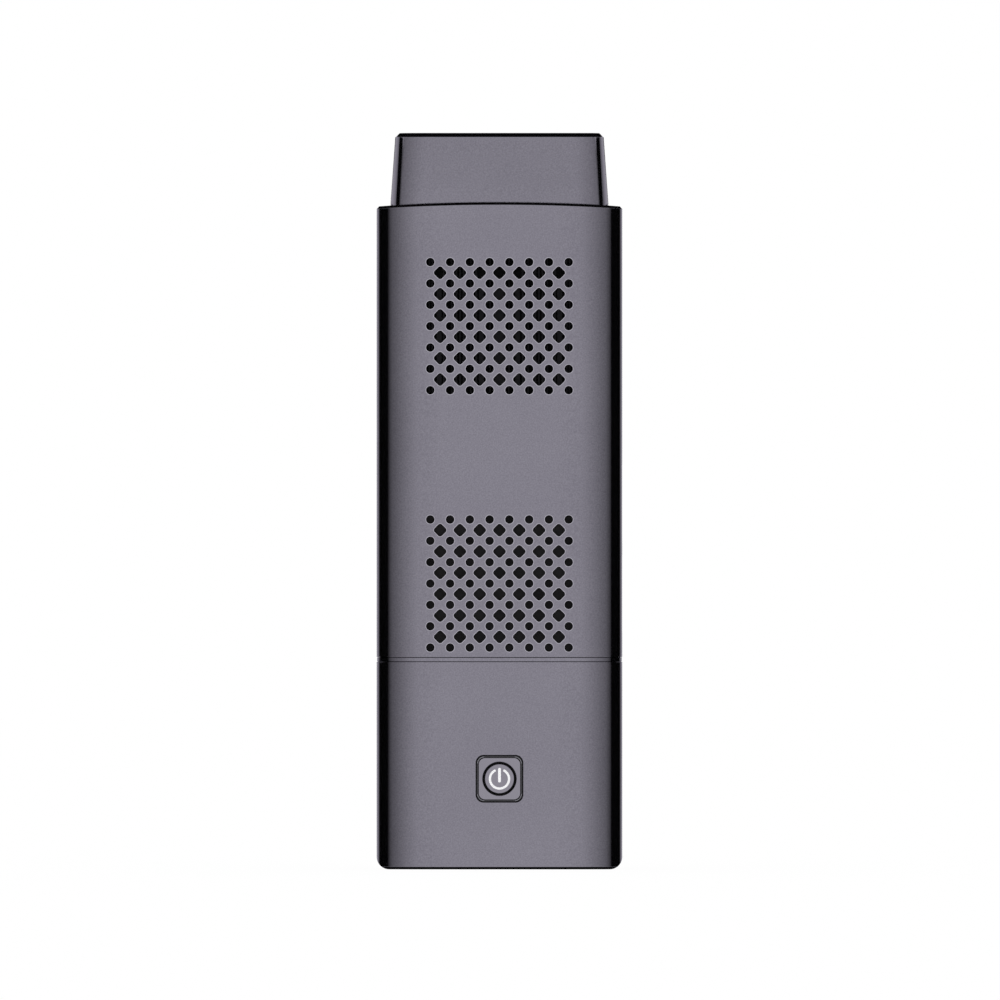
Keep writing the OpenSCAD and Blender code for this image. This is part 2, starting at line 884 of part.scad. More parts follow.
// Cross recess in a screw head whose top is at y, sunk towards +Y
module cross_recess(y, depth, w) {
    block([-w / 2, y - past, -recess_arm / 2], [w / 2, y + depth, recess_arm / 2]);
    block([-recess_arm / 2, y - past, -w / 2], [recess_arm / 2, y + depth, w / 2]);
}

// Two pairs on the back of the board, below the plug
module memory_chips() {
    color("#232427")
        for (i = [-1, 1], k = [0, 1])
            translate([i * (mem_w + mem_gap) / 2, board_face, plug_root - 2 * mem_gap])
                translate([-mem_w / 2, 0, -mem_l - k * (mem_l + mem_gap)])
                    cube([mem_w, mem_t, mem_l]);
}

// Midway between the power coils and the data ports
module storage_chip() {
    coil_side = board_x - coil_edge - coil_w;
    color("#232427")
        front_chip((port_back - coil_side) / 2, card_z, store_w, store_l, store_t);
}

module power_chip() {
    color("#2a2b2e")
        front_chip(power_chip_gap + power_chip_w / 2 - inlet_back, inlet_z,
                   power_chip_w, power_chip_w, power_chip_t);
}

module power_coils() {
    color("#3b3c40")
        for (k = [-1 : 1])
            front_chip(coil_edge + coil_w / 2 - board_x, card_z + k * (coil_w + coil_gap),
                       coil_w, coil_w, coil_t);
}

// A row on each side of the processor
module capacitors() {
    color("#b9a27c")
        for (i = [-1, 1], k = [0 : 3])
            front_chip(i * (cpu_w / 2 + capacitor_gap + capacitor_w / 2),
                       sink_z + (k - 1.5) * capacitor_pitch,
                       capacitor_w, capacitor_l, capacitor_w);
}

module crystal() {
    color("#c9c9c4")
        front_chip(0, screw_lo, crystal_w, crystal_l, crystal_t);
}

// Radio module and its tin cover
module wifi_module() {
    color("#16324a")
        front_chip(0, button_z + wifi_rise, wifi_w, wifi_l, wifi_t);
}

module wifi_shield() {
    w = wifi_w / 2 - wifi_margin;
    l = wifi_l / 2 - wifi_margin;
    y = -board_face - wifi_t;
    z = button_z + wifi_rise;
    color("#b9bbbd")
        difference() {
            block([-w, y - wifi_can_h, z - l], [w, y, z + l]);
            block([card_sheet - w, card_sheet + y - wifi_can_h, card_sheet + z - l],
                  [w - card_sheet, y + past, z + l - card_sheet]);
        }
}

module antenna() {
    color("#e6e2d6")
        front_chip(board_x - antenna_l - antenna_w / 2, board_lo + 1.5 * antenna_l,
                   antenna_w, antenna_l, antenna_t);
}

// Dark film over the ports, seen through the lower vents
module insulating_film() {
    color("#1a191c")
        block([-vent_half_w - film_margin, -port_half_t - film_t, seam_hi + film_margin],
              [vent_half_w + film_margin, -port_half_t, port_top]);
}

// Outline of the video plug: full width at the front, stepped in at the back
module plug_outline(inset) {
    w = plug_w / 2 - inset;
    n = w - plug_step;
    a = plug_step_lo - miter * inset;
    b = plug_step_hi - miter * inset;
    y = plug_t / 2 - inset;
    c = plug_corner;
    polygon([
        [-w, c - y], [c - w, -y], [w - c, -y], [w, c - y], [w, a], [n, b],
        [n, y], [-n, y], [-n, b], [-w, a]
    ]);
}

module plug_shell() {
    color("#c4c5c8")
        difference() {
            translate([0, 0, plug_root])
                linear_extrude(plug_tip - plug_root)
                    difference() {
                        plug_outline(0);
                        plug_outline(plug_sheet);
                    }
            for (x = [-latch_x, latch_x])
                translate([x, 0, plug_tip - latch_drop])
                    cube([latch_w, 2 * plug_t, latch_w], center = true);
        }
}

module plug_insulator() {
    color("#1d1d1f")
        difference() {
            translate([0, 0, plug_root + plug_sheet])
                linear_extrude(plug_face - plug_root - plug_sheet)
                    plug_outline(plug_sheet + fit / 2);
            block([-plug_slot_w / 2, plug_slot_y - plug_slot_t / 2, plug_face - plug_slot_d],
                  [plug_slot_w / 2, plug_slot_y + plug_slot_t / 2, plug_face + past]);
        }
}

// Two rows of contacts on the walls of the slot
module plug_contacts() {
    color("#d4af5a")
        for (row = [0, 1], k = [0 : 9 - row]) {
            x = (k - (9 - row) / 2) * plug_pitch;
            y = plug_slot_y + (row == 0 ? -plug_slot_t / 2 : plug_slot_t / 2 - plug_contact_t);
            block([x - plug_contact_w / 2, y, plug_face - plug_slot_d],
                  [x + plug_contact_w / 2, y + plug_contact_t, plug_face - plug_contact_w]);
        }
}

// Data port: folded sheet shell, tongue on a block, four contacts
module port_shell(z) {
    color("#bfc1c4")
        along_x(port_back, port_front)
            translate([0, z])
                difference() {
                    rounded(2 * port_half_t, 2 * port_half_w, port_corner + sheet);
                    rounded(port_t, port_w, port_corner);
                }
}

module port_tongue(z, tint) {
    color(tint) {
        along_x(port_back + sheet, tongue_root)
            translate([0, z])
                rounded(port_t - fit, port_w - fit, port_corner);
        block([tongue_root - fit, tongue_y, z - tongue_w / 2],
              [tongue_tip, tongue_y + tongue_t, z + tongue_w / 2]);
    }
}

module port_contacts(z) {
    y = tongue_y + tongue_t;
    color("#d4af5a")
        for (s = [-3.5, -1, 1, 3.5] * port_contact_w)
            block([tongue_root, y, z + s - port_contact_w / 2],
                  [tongue_tip - 4 * fit, y + port_contact_t, z + s + port_contact_w / 2]);
}

module upper_port_shell() {
    port_shell(port_zs[1]);
}

module upper_port_tongue() {
    port_tongue(port_zs[1], "#1c5fae");
}

module upper_port_contacts() {
    port_contacts(port_zs[1]);
}

module lower_port_shell() {
    port_shell(port_zs[0]);
}

module lower_port_tongue() {
    port_tongue(port_zs[0], "#202023");
}

module lower_port_contacts() {
    port_contacts(port_zs[0]);
}

// Outline of the power inlet: one long side has its corners cut off
module inlet_outline(inset) {
    t = inlet_t / 2 - inset;
    w = inlet_w / 2 - inset;
    a = inlet_cut_y - miter * inset;
    b = inlet_w / 2 - inlet_cut - miter * inset;
    polygon([
        [-t, -w], [a, -w], [t, -b], [t, b], [a, w], [-t, w]
    ]);
}

module inlet_shell() {
    color("#bfc1c4")
        along_x(-inlet_front, -inlet_back)
            translate([0, inlet_z])
                difference() {
                    inlet_outline(0);
                    inlet_outline(inlet_sheet);
                }
}

module inlet_tongue() {
    color("#202023") {
        along_x(-inlet_back - inlet_block, -inlet_back - 2 * fit)
            translate([0, inlet_z])
                inlet_outline(inlet_sheet + fit / 2);
        block([port_inset - inlet_front, -inlet_tongue_t / 2, inlet_z - inlet_tongue_w / 2],
              [fit - inlet_back - inlet_block, inlet_tongue_t / 2, inlet_z + inlet_tongue_w / 2]);
    }
}

module inlet_contacts() {
    color("#d4af5a")
        for (k = [-2 : 2])
            block([port_inset + 2 * fit - inlet_front, inlet_tongue_t / 2,
                   inlet_z + inlet_pitch * k - inlet_contact_w / 2],
                  [-inlet_back - inlet_block, inlet_tongue_t / 2 + port_contact_t,
                   inlet_z + inlet_pitch * k + inlet_contact_w / 2]);
}

// Card slot on the back of the board: folded cover, base and contacts
module card_shell() {
    z0 = card_z - card_case_w / 2;
    z1 = card_z + card_case_w / 2;
    y1 = board_face + card_t;
    color("#bfc1c4")
        difference() {
            block([-card_front, board_face, z0], [-card_back, y1, z1]);
            block([-card_front - past, board_face - past, z0 + card_sheet],
                  [-card_back - card_sheet, y1 - card_sheet, z1 - card_sheet]);
        }
}

module card_base() {
    w = card_case_w / 2 - card_sheet - fit / 2;
    y1 = board_face + card_t - card_sheet - fit / 2;
    color("#202023")
        difference() {
            block([-card_front, board_face, card_z - w], [-card_back - card_sheet - fit / 2, y1, card_z + w]);
            block([-card_front - past, board_face + card_base_t, card_z - card_w / 2],
                  [-card_back - card_pitch, y1 + past, card_z + card_w / 2]);
        }
}

module card_contacts() {
    y = board_face + card_base_t;
    color("#d4af5a")
        for (k = [0 : 7]) {
            z = card_z + (k - 3.5) * card_pitch;
            block([-card_back - card_l / 2, y, z - card_contact_w / 2],
                  [-card_back - 3 * card_pitch, y + port_contact_t, z + card_contact_w / 2]);
        }
}

// Four screws from the back through the board into the front bosses
module case_screws() {
    color("#4a4b4f")
        for (x = [-screw_x, screw_x], z = screw_zs)
            translate([x, 0, z])
                difference() {
                    union() {
                        bar_y(screw_head_d, head_seat, head_seat + screw_head_h);
                        bar_y(screw_d, screw_tip, head_seat + screw_head_h / 2);
                    }
                    mirror([0, 1, 0])
                        cross_recess(-head_seat - screw_head_h, screw_head_h / 2, screw_d + 2 * fit);
                }
}

front_cover();
rear_cover();
tail_cover();
plug_cap();
end_plate();
button_bezel();
power_button();
switch_body();
switch_plunger();
main_board();
processor();
thermal_pad();
heat_sink();
heat_sink_standoffs();
heat_sink_screws();
memory_chips();
storage_chip();
power_chip();
power_coils();
capacitors();
crystal();
wifi_module();
wifi_shield();
antenna();
insulating_film();
plug_shell();
plug_insulator();
plug_contacts();
upper_port_shell();
upper_port_tongue();
upper_port_contacts();
lower_port_shell();
lower_port_tongue();
lower_port_contacts();
inlet_shell();
inlet_tongue();
inlet_contacts();
card_shell();
card_base();
card_contacts();
case_screws();
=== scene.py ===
"""Stick computer with a capped video plug, dressed over its CAD frame.

The file follows the stick as it is put together: the board and its heat sink, the plug and
the side ports, the two covers and their screws, the tail, the button, the cap, and last the
white studio. Sizes are in millimetres and become metres where a mesh is made.
"""

import math

import bmesh
import bpy
from mathutils import Matrix, Vector


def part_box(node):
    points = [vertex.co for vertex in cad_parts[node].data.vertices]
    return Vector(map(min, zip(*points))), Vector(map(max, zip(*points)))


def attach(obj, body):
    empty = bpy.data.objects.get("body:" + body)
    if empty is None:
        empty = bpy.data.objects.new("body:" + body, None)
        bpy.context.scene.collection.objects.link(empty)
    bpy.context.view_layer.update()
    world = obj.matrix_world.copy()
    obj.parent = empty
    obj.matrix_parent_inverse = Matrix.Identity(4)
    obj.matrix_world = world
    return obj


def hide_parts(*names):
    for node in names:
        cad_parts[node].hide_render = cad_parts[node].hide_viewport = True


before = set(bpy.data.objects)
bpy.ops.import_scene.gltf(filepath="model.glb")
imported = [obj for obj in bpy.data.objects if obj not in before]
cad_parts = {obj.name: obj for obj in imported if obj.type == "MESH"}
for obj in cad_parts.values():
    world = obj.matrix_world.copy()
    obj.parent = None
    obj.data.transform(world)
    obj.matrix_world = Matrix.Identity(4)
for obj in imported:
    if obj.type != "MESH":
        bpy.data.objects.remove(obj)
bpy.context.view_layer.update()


# Circuit board and what is soldered to it. Glass-epoxy laminate under dark green solder mask
# carries moulded epoxy chips, pressed ferrite coils, ceramic chips and a tinned radio cover.
# It slides into guides in the tail and the case screws pass through it.

def linear(code):
    """Turns an sRGB hex colour into the linear values that a colour socket takes."""
    channels = [int(code[k:k + 2], 16) / 255 for k in (1, 3, 5)]
    return [c / 12.92 if c <= 0.04045 else ((c + 0.055) / 1.055) ** 2.4 for c in channels] + [1.0]


def add_node(tree, kind, inputs, **settings):
    """Adds a node with its settings; an input is given a value, or linked where it is a socket."""
    node = tree.nodes.new(kind)
    for name, value in settings.items():
        setattr(node, name, value)
    for socket, value in inputs.items():
        if isinstance(value, bpy.types.NodeSocket):
            tree.links.new(value, node.inputs[socket])
        else:
            node.inputs[socket].default_value = value
    return node


def grained(name, dark, light, grain, roughness, relief, metallic=0.0, ior=1.5):
    """A surface with an even grain: tone, gloss and relief all follow one noise.
    The grain and its relief are in millimetres, the roughness is a lowest and a highest value.
    A Mix node's sockets share their names, so they are taken by their places."""
    material = bpy.data.materials.new(name)
    material.use_nodes = True
    tree = material.node_tree
    shader = tree.nodes["Principled BSDF"]
    shader.inputs["Metallic"].default_value = metallic
    shader.inputs["IOR"].default_value = ior
    place = add_node(tree, "ShaderNodeTexCoord", {})
    noise = add_node(tree, "ShaderNodeTexNoise", {
        "Vector": place.outputs["Object"], "Scale": 1000 / grain, "Detail": 2.0})
    spread = add_node(tree, "ShaderNodeMapRange", {
        "Value": noise.outputs["Fac"], "From Min": 0.3, "From Max": 0.7})
    tone = add_node(tree, "ShaderNodeMix", {
        0: spread.outputs["Result"], 6: linear(dark), 7: linear(light)}, data_type="RGBA")
    gloss = add_node(tree, "ShaderNodeMapRange", {
        "Value": spread.outputs["Result"], "To Min": roughness[0], "To Max": roughness[1]})
    bump = add_node(tree, "ShaderNodeBump", {
        "Strength": 1.0, "Distance": relief / 1000, "Height": noise.outputs["Fac"]})
    tree.links.new(tone.outputs[2], shader.inputs["Base Color"])
    tree.links.new(gloss.outputs["Result"], shader.inputs["Roughness"])
    tree.links.new(bump.outputs["Normal"], shader.inputs["Normal"])
    return material


def dress(material, *names):
    """Gives CAD nodes their finish in place of the frame's plain colour."""
    for name in names:
        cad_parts[name].material_slots[0].material = material


# Solder mask is a thin glossy lacquer, a little uneven over the weave of the glass cloth
dress(grained("solder_mask_on_laminate", "#123a28", "#174a33", 0.5, (0.28, 0.36), 0.004), "main_board")
dress(grained("blue_mask_on_laminate", "#142c42", "#193650", 0.5, (0.28, 0.36), 0.004), "wifi_module")
# Filled epoxy leaves the mould with a fine matt grain
dress(grained("moulded_chip_epoxy", "#1f2023", "#2a2b2e", 0.12, (0.5, 0.62), 0.006),
      "processor", "memory_chips", "storage_chip", "power_chip")
# Pressed ferrite powder is dark, dull and slightly speckled
dress(grained("pressed_ferrite", "#323337", "#45464a", 0.2, (0.6, 0.7), 0.01), "power_coils")
# Fired ceramic is pale tan and smooth
dress(grained("fired_ceramic", "#b39c77", "#c7b28c", 0.3, (0.35, 0.42), 0.003), "capacitors", "antenna")
# Tin plate is bright and softly mottled
dress(grained("tin_plated_steel", "#b4b6b8", "#c6c7c8", 1.5, (0.25, 0.34), 0.002, 1.0),
      "crystal", "wifi_shield")


# Heat sink over the processor. A black anodised aluminium plate with thin milled fins and broad
# ribs between them, held by four zinc-plated screws on brass standoffs over a soft pad. The fins
# and ribs show through the upper vents.

MM = 0.001
sink_w, sink_base, sink_round, sink_edge = 30.8, 1.0, 0.4, 0.1
fin_t, fin_round, fin_edge = 0.33, 0.06, 0.03
# Fins stand at these distances to both sides of the middle; a rib is given by its place and width
fin_xs = (1.56, 3.8, 4.66, 5.82, 6.42, 7.02, 7.79, 9.05, 10.93, 11.43)
rib_top = 96.3
sink_ribs = ((0.0, 1.7), (2.95, 0.82), (-2.95, 0.82), (9.82, 0.86), (-9.82, 0.86))
sink_low, sink_high = (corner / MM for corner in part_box("heat_sink"))
sink_z = (sink_low.z + sink_high.z) / 2
sink_l = sink_high.z - sink_low.z


def rounded_rect(w, h, r, steps=6):
    """Outline of a rectangle with rounded corners, about the origin."""
    outline = []
    for k, (i, j) in enumerate(((1, 1), (-1, 1), (-1, -1), (1, -1))):
        for s in range(steps + 1):
            a = math.radians(90 * (k + s / steps))
            outline.append((i * (w / 2 - r) + r * math.cos(a), j * (h / 2 - r) + r * math.sin(a)))
    return outline


def skin(rings, loop=False):
    """Bridges closed rings of points into one solid, capped at both ends or closed in a loop."""
    n, m = len(rings[0]), len(rings)
    points = [p for ring in rings for p in ring]
    faces = []
    for j in range(m if loop else m - 1):
        a, b = j * n, (j + 1) % m * n
        faces += [(a + k, a + (k + 1) % n, b + (k + 1) % n, b + k) for k in range(n)]
    if not loop:
        faces += [tuple(range(n)), tuple(range((m - 1) * n, m * n))]
    return points, faces


def bake(piece):
    """Turns what a piece's modifiers make into its plain mesh."""
    state = bpy.context.evaluated_depsgraph_get()
    mesh = bpy.data.meshes.new_from_object(piece.evaluated_get(state))
    piece.modifiers.clear()
    piece.data = mesh


def even_out(piece):
    """Weights the shading by face area, so that broad flats stay flat beside small rounds."""
    piece.modifiers.new("even", "WEIGHTED_NORMAL").keep_sharp = True
    bake(piece)


def shade(mesh, crease=28):
    """Smooth shading over the rounds, with a crease where faces meet at more than that angle."""
    mesh.polygons.foreach_set("use_smooth", [True] * len(mesh.polygons))
    mesh.set_sharp_from_angle(angle=math.radians(crease))


def build(name, solids, finish=None):
    """One mesh object from solids given in millimetres, with its faces pointing outwards."""
    shape = bmesh.new()
    for points, faces in solids:
        corners = [shape.verts.new(Vector(p) * MM) for p in points]
        for face in faces:
            shape.faces.new([corners[k] for k in face])
    bmesh.ops.remove_doubles(shape, verts=shape.verts[:], dist=1e-7)
    bmesh.ops.recalc_face_normals(shape, faces=shape.faces[:])
    mesh = bpy.data.meshes.new(name)
    shape.to_mesh(mesh)
    shape.free()
    if finish:
        mesh.materials.append(finish)
    shade(mesh)
    piece = bpy.data.objects.new(name, mesh)
    bpy.context.scene.collection.objects.link(piece)
    return piece


def post(w, h, r, y0, y1, edge, x=0.0, z=0.0, steps=4):
    """A rounded block along Y from y0 to y1, its edges broken in two short steps at the y0 end."""
    rings = []
    for y, inset in ((y0, edge), (y0 + 0.3 * edge, 0.3 * edge), (y0 + edge, 0.0), (y1, 0.0)):
        outline = rounded_rect(w - 2 * inset, h - 2 * inset, max(r - inset, 0.01), steps)
        rings.append([(u + x, y, v + z) for u, v in outline])
    return skin(rings)


def coat_front_faces(piece, coat, reach=0.04):
    """Gives the coat to the faces that look forward within that reach, in millimetres, of the
    very front of a piece."""
    front = min(corner.co.y for corner in piece.data.vertices)
    piece.data.materials.append(coat)
    for face in piece.data.polygons:
        if face.normal.y < -0.5 and face.center.y < front + reach * MM:
            face.material_index = 1


# Black anodised aluminium, dull, in two copies of one finish: a near-black copy over the plate and the sides
# of the fins is painted shade, so that the gaps between the fins read black, and a greyer copy on the fronts
# of fins and ribs is painted light.
shaded_black_anodising = grained("black_anodising_painted_shade", "#08080a", "#0d0d0f", 0.3, (0.65, 0.75), 0.004)
lit_black_anodising = grained("black_anodising_painted_light", "#26262a", "#2f2f33", 0.3, (0.6, 0.7), 0.004)
fin_y, plate_y, sink_y = sink_low.y, sink_high.y - sink_base, sink_high.y
rib_l = rib_top - sink_low.z
fins = [post(fin_t, sink_l, fin_round, fin_y, plate_y, fin_edge, side * x, sink_z, 2)
        for x in fin_xs for side in (-1, 1)]
fins += [post(w, rib_l, fin_round, fin_y, plate_y, fin_edge, x, rib_top - rib_l / 2, 2)
         for x, w in sink_ribs]
plate = post(sink_w, sink_l, sink_round, plate_y, sink_y, sink_edge, z=sink_z)
heat_sink = build("finned_heat_sink", fins + [plate], shaded_black_anodising)
# The forward faces of the fins and ribs take the greyer copy, as painted light
coat_front_faces(heat_sink, lit_black_anodising)
even_out(heat_sink)
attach(heat_sink, "case")
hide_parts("heat_sink")
# Silicone pad, turned brass and zinc plate
dress(grained("silicone_gap_pad", "#8f9ca5", "#a4b0b8", 0.4, (0.6, 0.7), 0.01), "thermal_pad")
dress(grained("turned_brass", "#ab8f50", "#bda263", 0.25, (0.25, 0.34), 0.003, 1.0),
      "heat_sink_standoffs")
dress(grained("zinc_plate_on_steel", "#85888c", "#999ca0", 0.3, (0.3, 0.4), 0.003, 1.0),
      "heat_sink_screws")


# Insulating film over the port shells. Thin black polyester sheet, die cut and laid flat; it
# is the dark ground behind the lower vents.

# Film off the roll is even and faintly glossy, with slow waves
dress(grained("black_polyester_film", "#151417", "#1c1b1e", 4.0, (0.42, 0.5), 0.01), "insulating_film")


# Video plug. A sheet-steel shell, folded to its stepped outline and nickel plated, with two
# latch windows in each face; it stands on the board's end and holds a black insulator with
# two rows of gold-plated contacts.

plug_w, plug_t, plug_sheet = 13.9, 4.45, 0.35
plug_step, slant_low, slant_high, plug_bend = 1.3, 0.55, 1.85, 0.34
latch_w, latch_r, latch_edge, latch_x, latch_drop = 1.6, 0.2, 0.05, 3.4, 5.4
plug_low, plug_high = (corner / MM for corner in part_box("plug_shell"))


def softened(corners, reach, steps):
    """Outline whose corners are rounded off over a reach along both sides."""
    corners = [Vector(corner) for corner in corners]
    outline = []
    for k, here in enumerate(corners):
        before = (corners[k - 1] - here).normalized() * reach
        after = (corners[(k + 1) % len(corners)] - here).normalized() * reach
        for s in range(steps + 1):
            t = s / steps
            outline.append(tuple((here + before * (1 - t)).lerp(here + after * t, t)))
    return outline


def plug_outline(inset):
    """Stepped outline of the plug's shell with its corners rounded as the fold leaves them.
    Its slants lie at 45 degrees, so their ends move down by 0.414 of an inset."""
    w, n, y = plug_w / 2 - inset, plug_w / 2 - plug_step - inset, plug_t / 2 - inset
    a, b = slant_low - 0.414 * inset, slant_high - 0.414 * inset
    corners = ((-w, -y), (w, -y), (w, a), (n, b), (n, y), (-n, y), (-n, b), (-w, a))
    return softened(corners, max(plug_bend - 0.5 * inset, 0.1), 5)


def carve(piece, cutter):
    """Cuts the cutter's solids out of a piece; the cutter is used up."""
    cut = piece.modifiers.new("cut", "BOOLEAN")
    cut.operation, cut.solver, cut.object = "DIFFERENCE", "EXACT", cutter
    cut.material_mode, cut.use_self = "TRANSFER", True
    bake(piece)
    shade(piece.data)
    bpy.data.objects.remove(cutter)


# Nickel plate is bright and slightly warm, brushed a little by the rolling of the sheet
nickel = grained("nickel_plate_on_steel", "#b9b6b0", "#cbc8c2", 0.35, (0.2, 0.28), 0.002, 1.0)
gold = grained("gold_plate_on_bronze", "#c9a24c", "#dab562", 0.3, (0.2, 0.27), 0.002, 1.0)
# Glass-filled nylon is black with a dry moulded grain
black_plastic = grained("moulded_black_nylon", "#1b1b1d", "#232326", 0.15, (0.45, 0.55), 0.006)

tip, root = plug_high.z, plug_low.z
# Up the outside, over the rounded mouth and down the inside, as heights and depths into the sheet
plug_profile = ((root, 0.0), (tip - 0.5, 0.0), (tip - 0.16, 0.03), (tip - 0.04, 0.1), (tip, 0.2),
                (tip - 0.04, 0.3), (tip - 0.15, plug_sheet), (root, plug_sheet))
plug_rings = [[(x, y, z) for x, y in plug_outline(inset)] for z, inset in plug_profile]
plug_shell = build("folded_plug_shell", [skin(plug_rings, loop=True)], nickel)
latch_holes = [post(latch_w, latch_w, latch_r, -plug_t, plug_t, latch_edge, x, tip - latch_drop)
               for x in (-latch_x, latch_x)]
carve(plug_shell, build("latch_windows", latch_holes))
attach(plug_shell, "case")
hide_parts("plug_shell")
dress(black_plastic, "plug_insulator")
dress(gold, "plug_contacts")


# Two data ports in the right side. Each is a folded nickel-plated shell with a rolled mouth and
# spring tabs, round a moulded tongue with four gold-plated contacts; the upper one is blue.

port_w, port_t, port_round, port_sheet = 12.5, 5.12, 0.32, 0.3
tab_z, tab_foot, tab_crest, tab_sink = 3.1, 1.1, 1.0, 0.1
blue_plastic = grained("moulded_blue_nylon", "#1a57a0", "#2064b2", 0.15, (0.4, 0.5), 0.006)
for level, tongue in (("upper", blue_plastic), ("lower", black_plastic)):
    port_low, port_high = (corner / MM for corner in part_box(level + "_port_shell"))
    port_z = (port_low.z + port_high.z) / 2
    root, mouth = port_low.x, port_high.x
    # Along the outside, over the rolled mouth and back inside, as places and growth from the inside
    port_profile = ((root, port_sheet), (mouth - 0.2, port_sheet), (mouth - 0.06, 0.25), (mouth, 0.16),
                    (mouth - 0.05, 0.07), (mouth - 0.22, 0.0), (root, 0.0))
    port_rings = []
    for x, grow in port_profile:
        outline = rounded_rect(port_t + 2 * grow, port_w + 2 * grow, port_round + grow)
        port_rings.append([(x, u, v + port_z) for u, v in outline])
    solids = [skin(port_rings, loop=True)]
    tab_profile = ((mouth - 7.0, 0.0), (mouth - 3.6, 0.3), (mouth - 2.4, 0.34), (mouth - 1.5, 0.02))
    for side in (-1, 1):
        for v in (-tab_z, tab_z):
            tab_rings = []
            for x, lift in tab_profile:
                outline = ((-tab_sink, -tab_foot), (lift, -tab_crest),
                           (lift, tab_crest), (-tab_sink, tab_foot))
                tab_rings.append([(x, side * (port_t / 2 - d), port_z + v + w) for d, w in outline])
            solids.append(skin(tab_rings))
    shell = build(level + "_data_port_shell", solids, nickel)
    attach(shell, "case")
    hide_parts(level + "_port_shell")
    dress(tongue, level + "_port_tongue")
    dress(gold, level + "_port_contacts")


# Power inlet and memory-card slot in the left side. The inlet is a small folded shell with two
# corners cut off, round a black tongue; the card slot is a sheet cover over a black base.

inlet_w, inlet_t, inlet_sheet = 7.5, 2.7, 0.25
inlet_flat, inlet_cut, inlet_bend = 0.3, 1.0, 0.22
inlet_low, inlet_high = (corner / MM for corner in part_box("inlet_shell"))
inlet_z = (inlet_low.z + inlet_high.z) / 2


def inlet_outline(inset):
    """Outline of the inlet's shell, two corners cut off and all of them softened."""
    t, w = inlet_t / 2 - inset, inlet_w / 2 - inset
    a, b = inlet_flat - 0.4 * inset, w - inlet_cut + 0.6 * inset
    return softened(((-t, -w), (a, -w), (t, -b), (t, b), (a, w), (-t, w)), inlet_bend, 4)


root, mouth = inlet_high.x, inlet_low.x
inlet_profile = ((root, 0.0), (mouth + 0.2, 0.0), (mouth + 0.05, 0.04), (mouth, 0.12),
                 (mouth + 0.05, 0.2), (mouth + 0.2, inlet_sheet), (root, inlet_sheet))
inlet_rings = [[(x, u, v + inlet_z) for u, v in inlet_outline(inset)] for x, inset in inlet_profile]
inlet_shell = build("folded_inlet_shell", [skin(inlet_rings, loop=True)], nickel)
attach(inlet_shell, "case")
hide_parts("inlet_shell")
dress(nickel, "card_shell")
dress(black_plastic, "inlet_tongue", "card_base")
dress(gold, "inlet_contacts", "card_contacts")


# Front and rear covers. Two injection-moulded ABS shells in metallic paint, flat across the
# middle, falling away over wide shoulders to tight long edges, with a bowed top rim. The front
# one is pierced by two fields of round and diamond vents; they meet on the sides in a fine line.

half_w, half_t, wall = 20.0, 7.0, 2.0
crown_r, shoulder_r, edge_r = 92.8, 18.0, 3.6
crown_sine, lean_sine = 0.0517, 0.28
flat_x = half_w - crown_r * crown_sine - shoulder_r * (lean_sine - crown_sine) - edge_r * (1 - lean_sine)
body_h, rim_r, rim_lift, rim_chamfer, rim_round = 108.5, 310.0, 0.05, 0.4, 0.2
soft_r = 0.06
seam_low, seam_high, seam_d = 33.75, 34.53, 0.36
part_gap, part_edge, lip_h, lip_room, lip_depth, rebate_depth = 0.12, 0.09, 1.0, 0.1, 1.1, 1.0
plate_low, plate_high, plate_seat = 105.1, 106.7, 1.2
bead_z, bead_half, bead_floor = 36.13, 0.5, 1.7
vent_pitch_x, vent_pitch_z, vent_zs = 3.218, 3.474, (88.4, 46.52)
vent_hole, vent_diamond, vent_diamond_r = 1.385, 1.72, 0.45
port_zs, inlet_window_z, card_z = (59.58, 44.78), 43.38, 57.93
screw_x, screw_inset, boss_r, shank_hole_r, head_hole_r = 14.2, 1.8, 2.2, 1.1, 2.0
board_half, boss_fall, boss_drop = 0.6, 0.4, 0.3
screws_low, screws_high = (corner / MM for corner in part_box("case_screws"))
screw_zs = (screws_high.z - screw_inset, screws_low.z + screw_inset)


def quarter_section():
    """From the middle of a face round to the side: place and outward normal of each station."""
    stations = [(flat_x * k / 10, half_t, 0.0, 1.0) for k in range(11)]
    start = 0.0
    for r, end, steps in ((crown_r, math.asin(crown_sine), 6), (shoulder_r, math.asin(lean_sine), 10),
                          (edge_r, math.pi / 2, 20)):
        x, y = stations[-1][:2]
        for k in range(1, steps + 1):
            a = start + (end - start) * k / steps
            across, out = math.sin(a), math.cos(a)
            stations.append((x + r * (across - math.sin(start)), y + r * (out - math.cos(start)),
                             across, out))
        start = end
    return stations


def broken_edge(chamfer, r):
    """Edge broken at 45 degrees with softened ends, as drops from the end and depths below the side."""
    reach = chamfer + r * math.tan(math.pi / 8)
    angles = [k * math.pi / 12 for k in range(4)]
    turn = [(reach - r * math.sin(a), r * (1 - math.cos(a))) for a in angles]
    return turn + [(depth, drop) for drop, depth in turn[::-1]]


def rim(x):
    """Height of the bowed top rim."""
    return body_h + rim_lift - rim_r + math.sqrt(rim_r ** 2 - x ** 2)


def cover_wall(x, nx):
    """Closed outline of a cover's wall at one station, as heights and depths below the surface."""
    outline = [(seam_high, 0.03), (seam_high + 0.01, 0.01), (seam_high + 0.03, 0.0)]
    outline += [(rim(x - d * nx) - drop, d) for drop, d in broken_edge(rim_chamfer, soft_r)]
    for a in (90, 135, 180):
        c, s = math.cos(math.radians(a)), math.sin(math.radians(a))
        d = wall - rim_round - rim_round * c
        outline.append((rim(x - d * nx) - rim_round * (1 - s), d))
    outline += [(plate_high, wall), (plate_high, plate_seat), (plate_low, plate_seat), (plate_low, wall)]
    top, foot = bead_z + bead_half, bead_z - bead_half
    outline += [(top, wall), (top, bead_floor), (foot, bead_floor), (foot, wall)]
    return outline + [(seam_high, wall)]


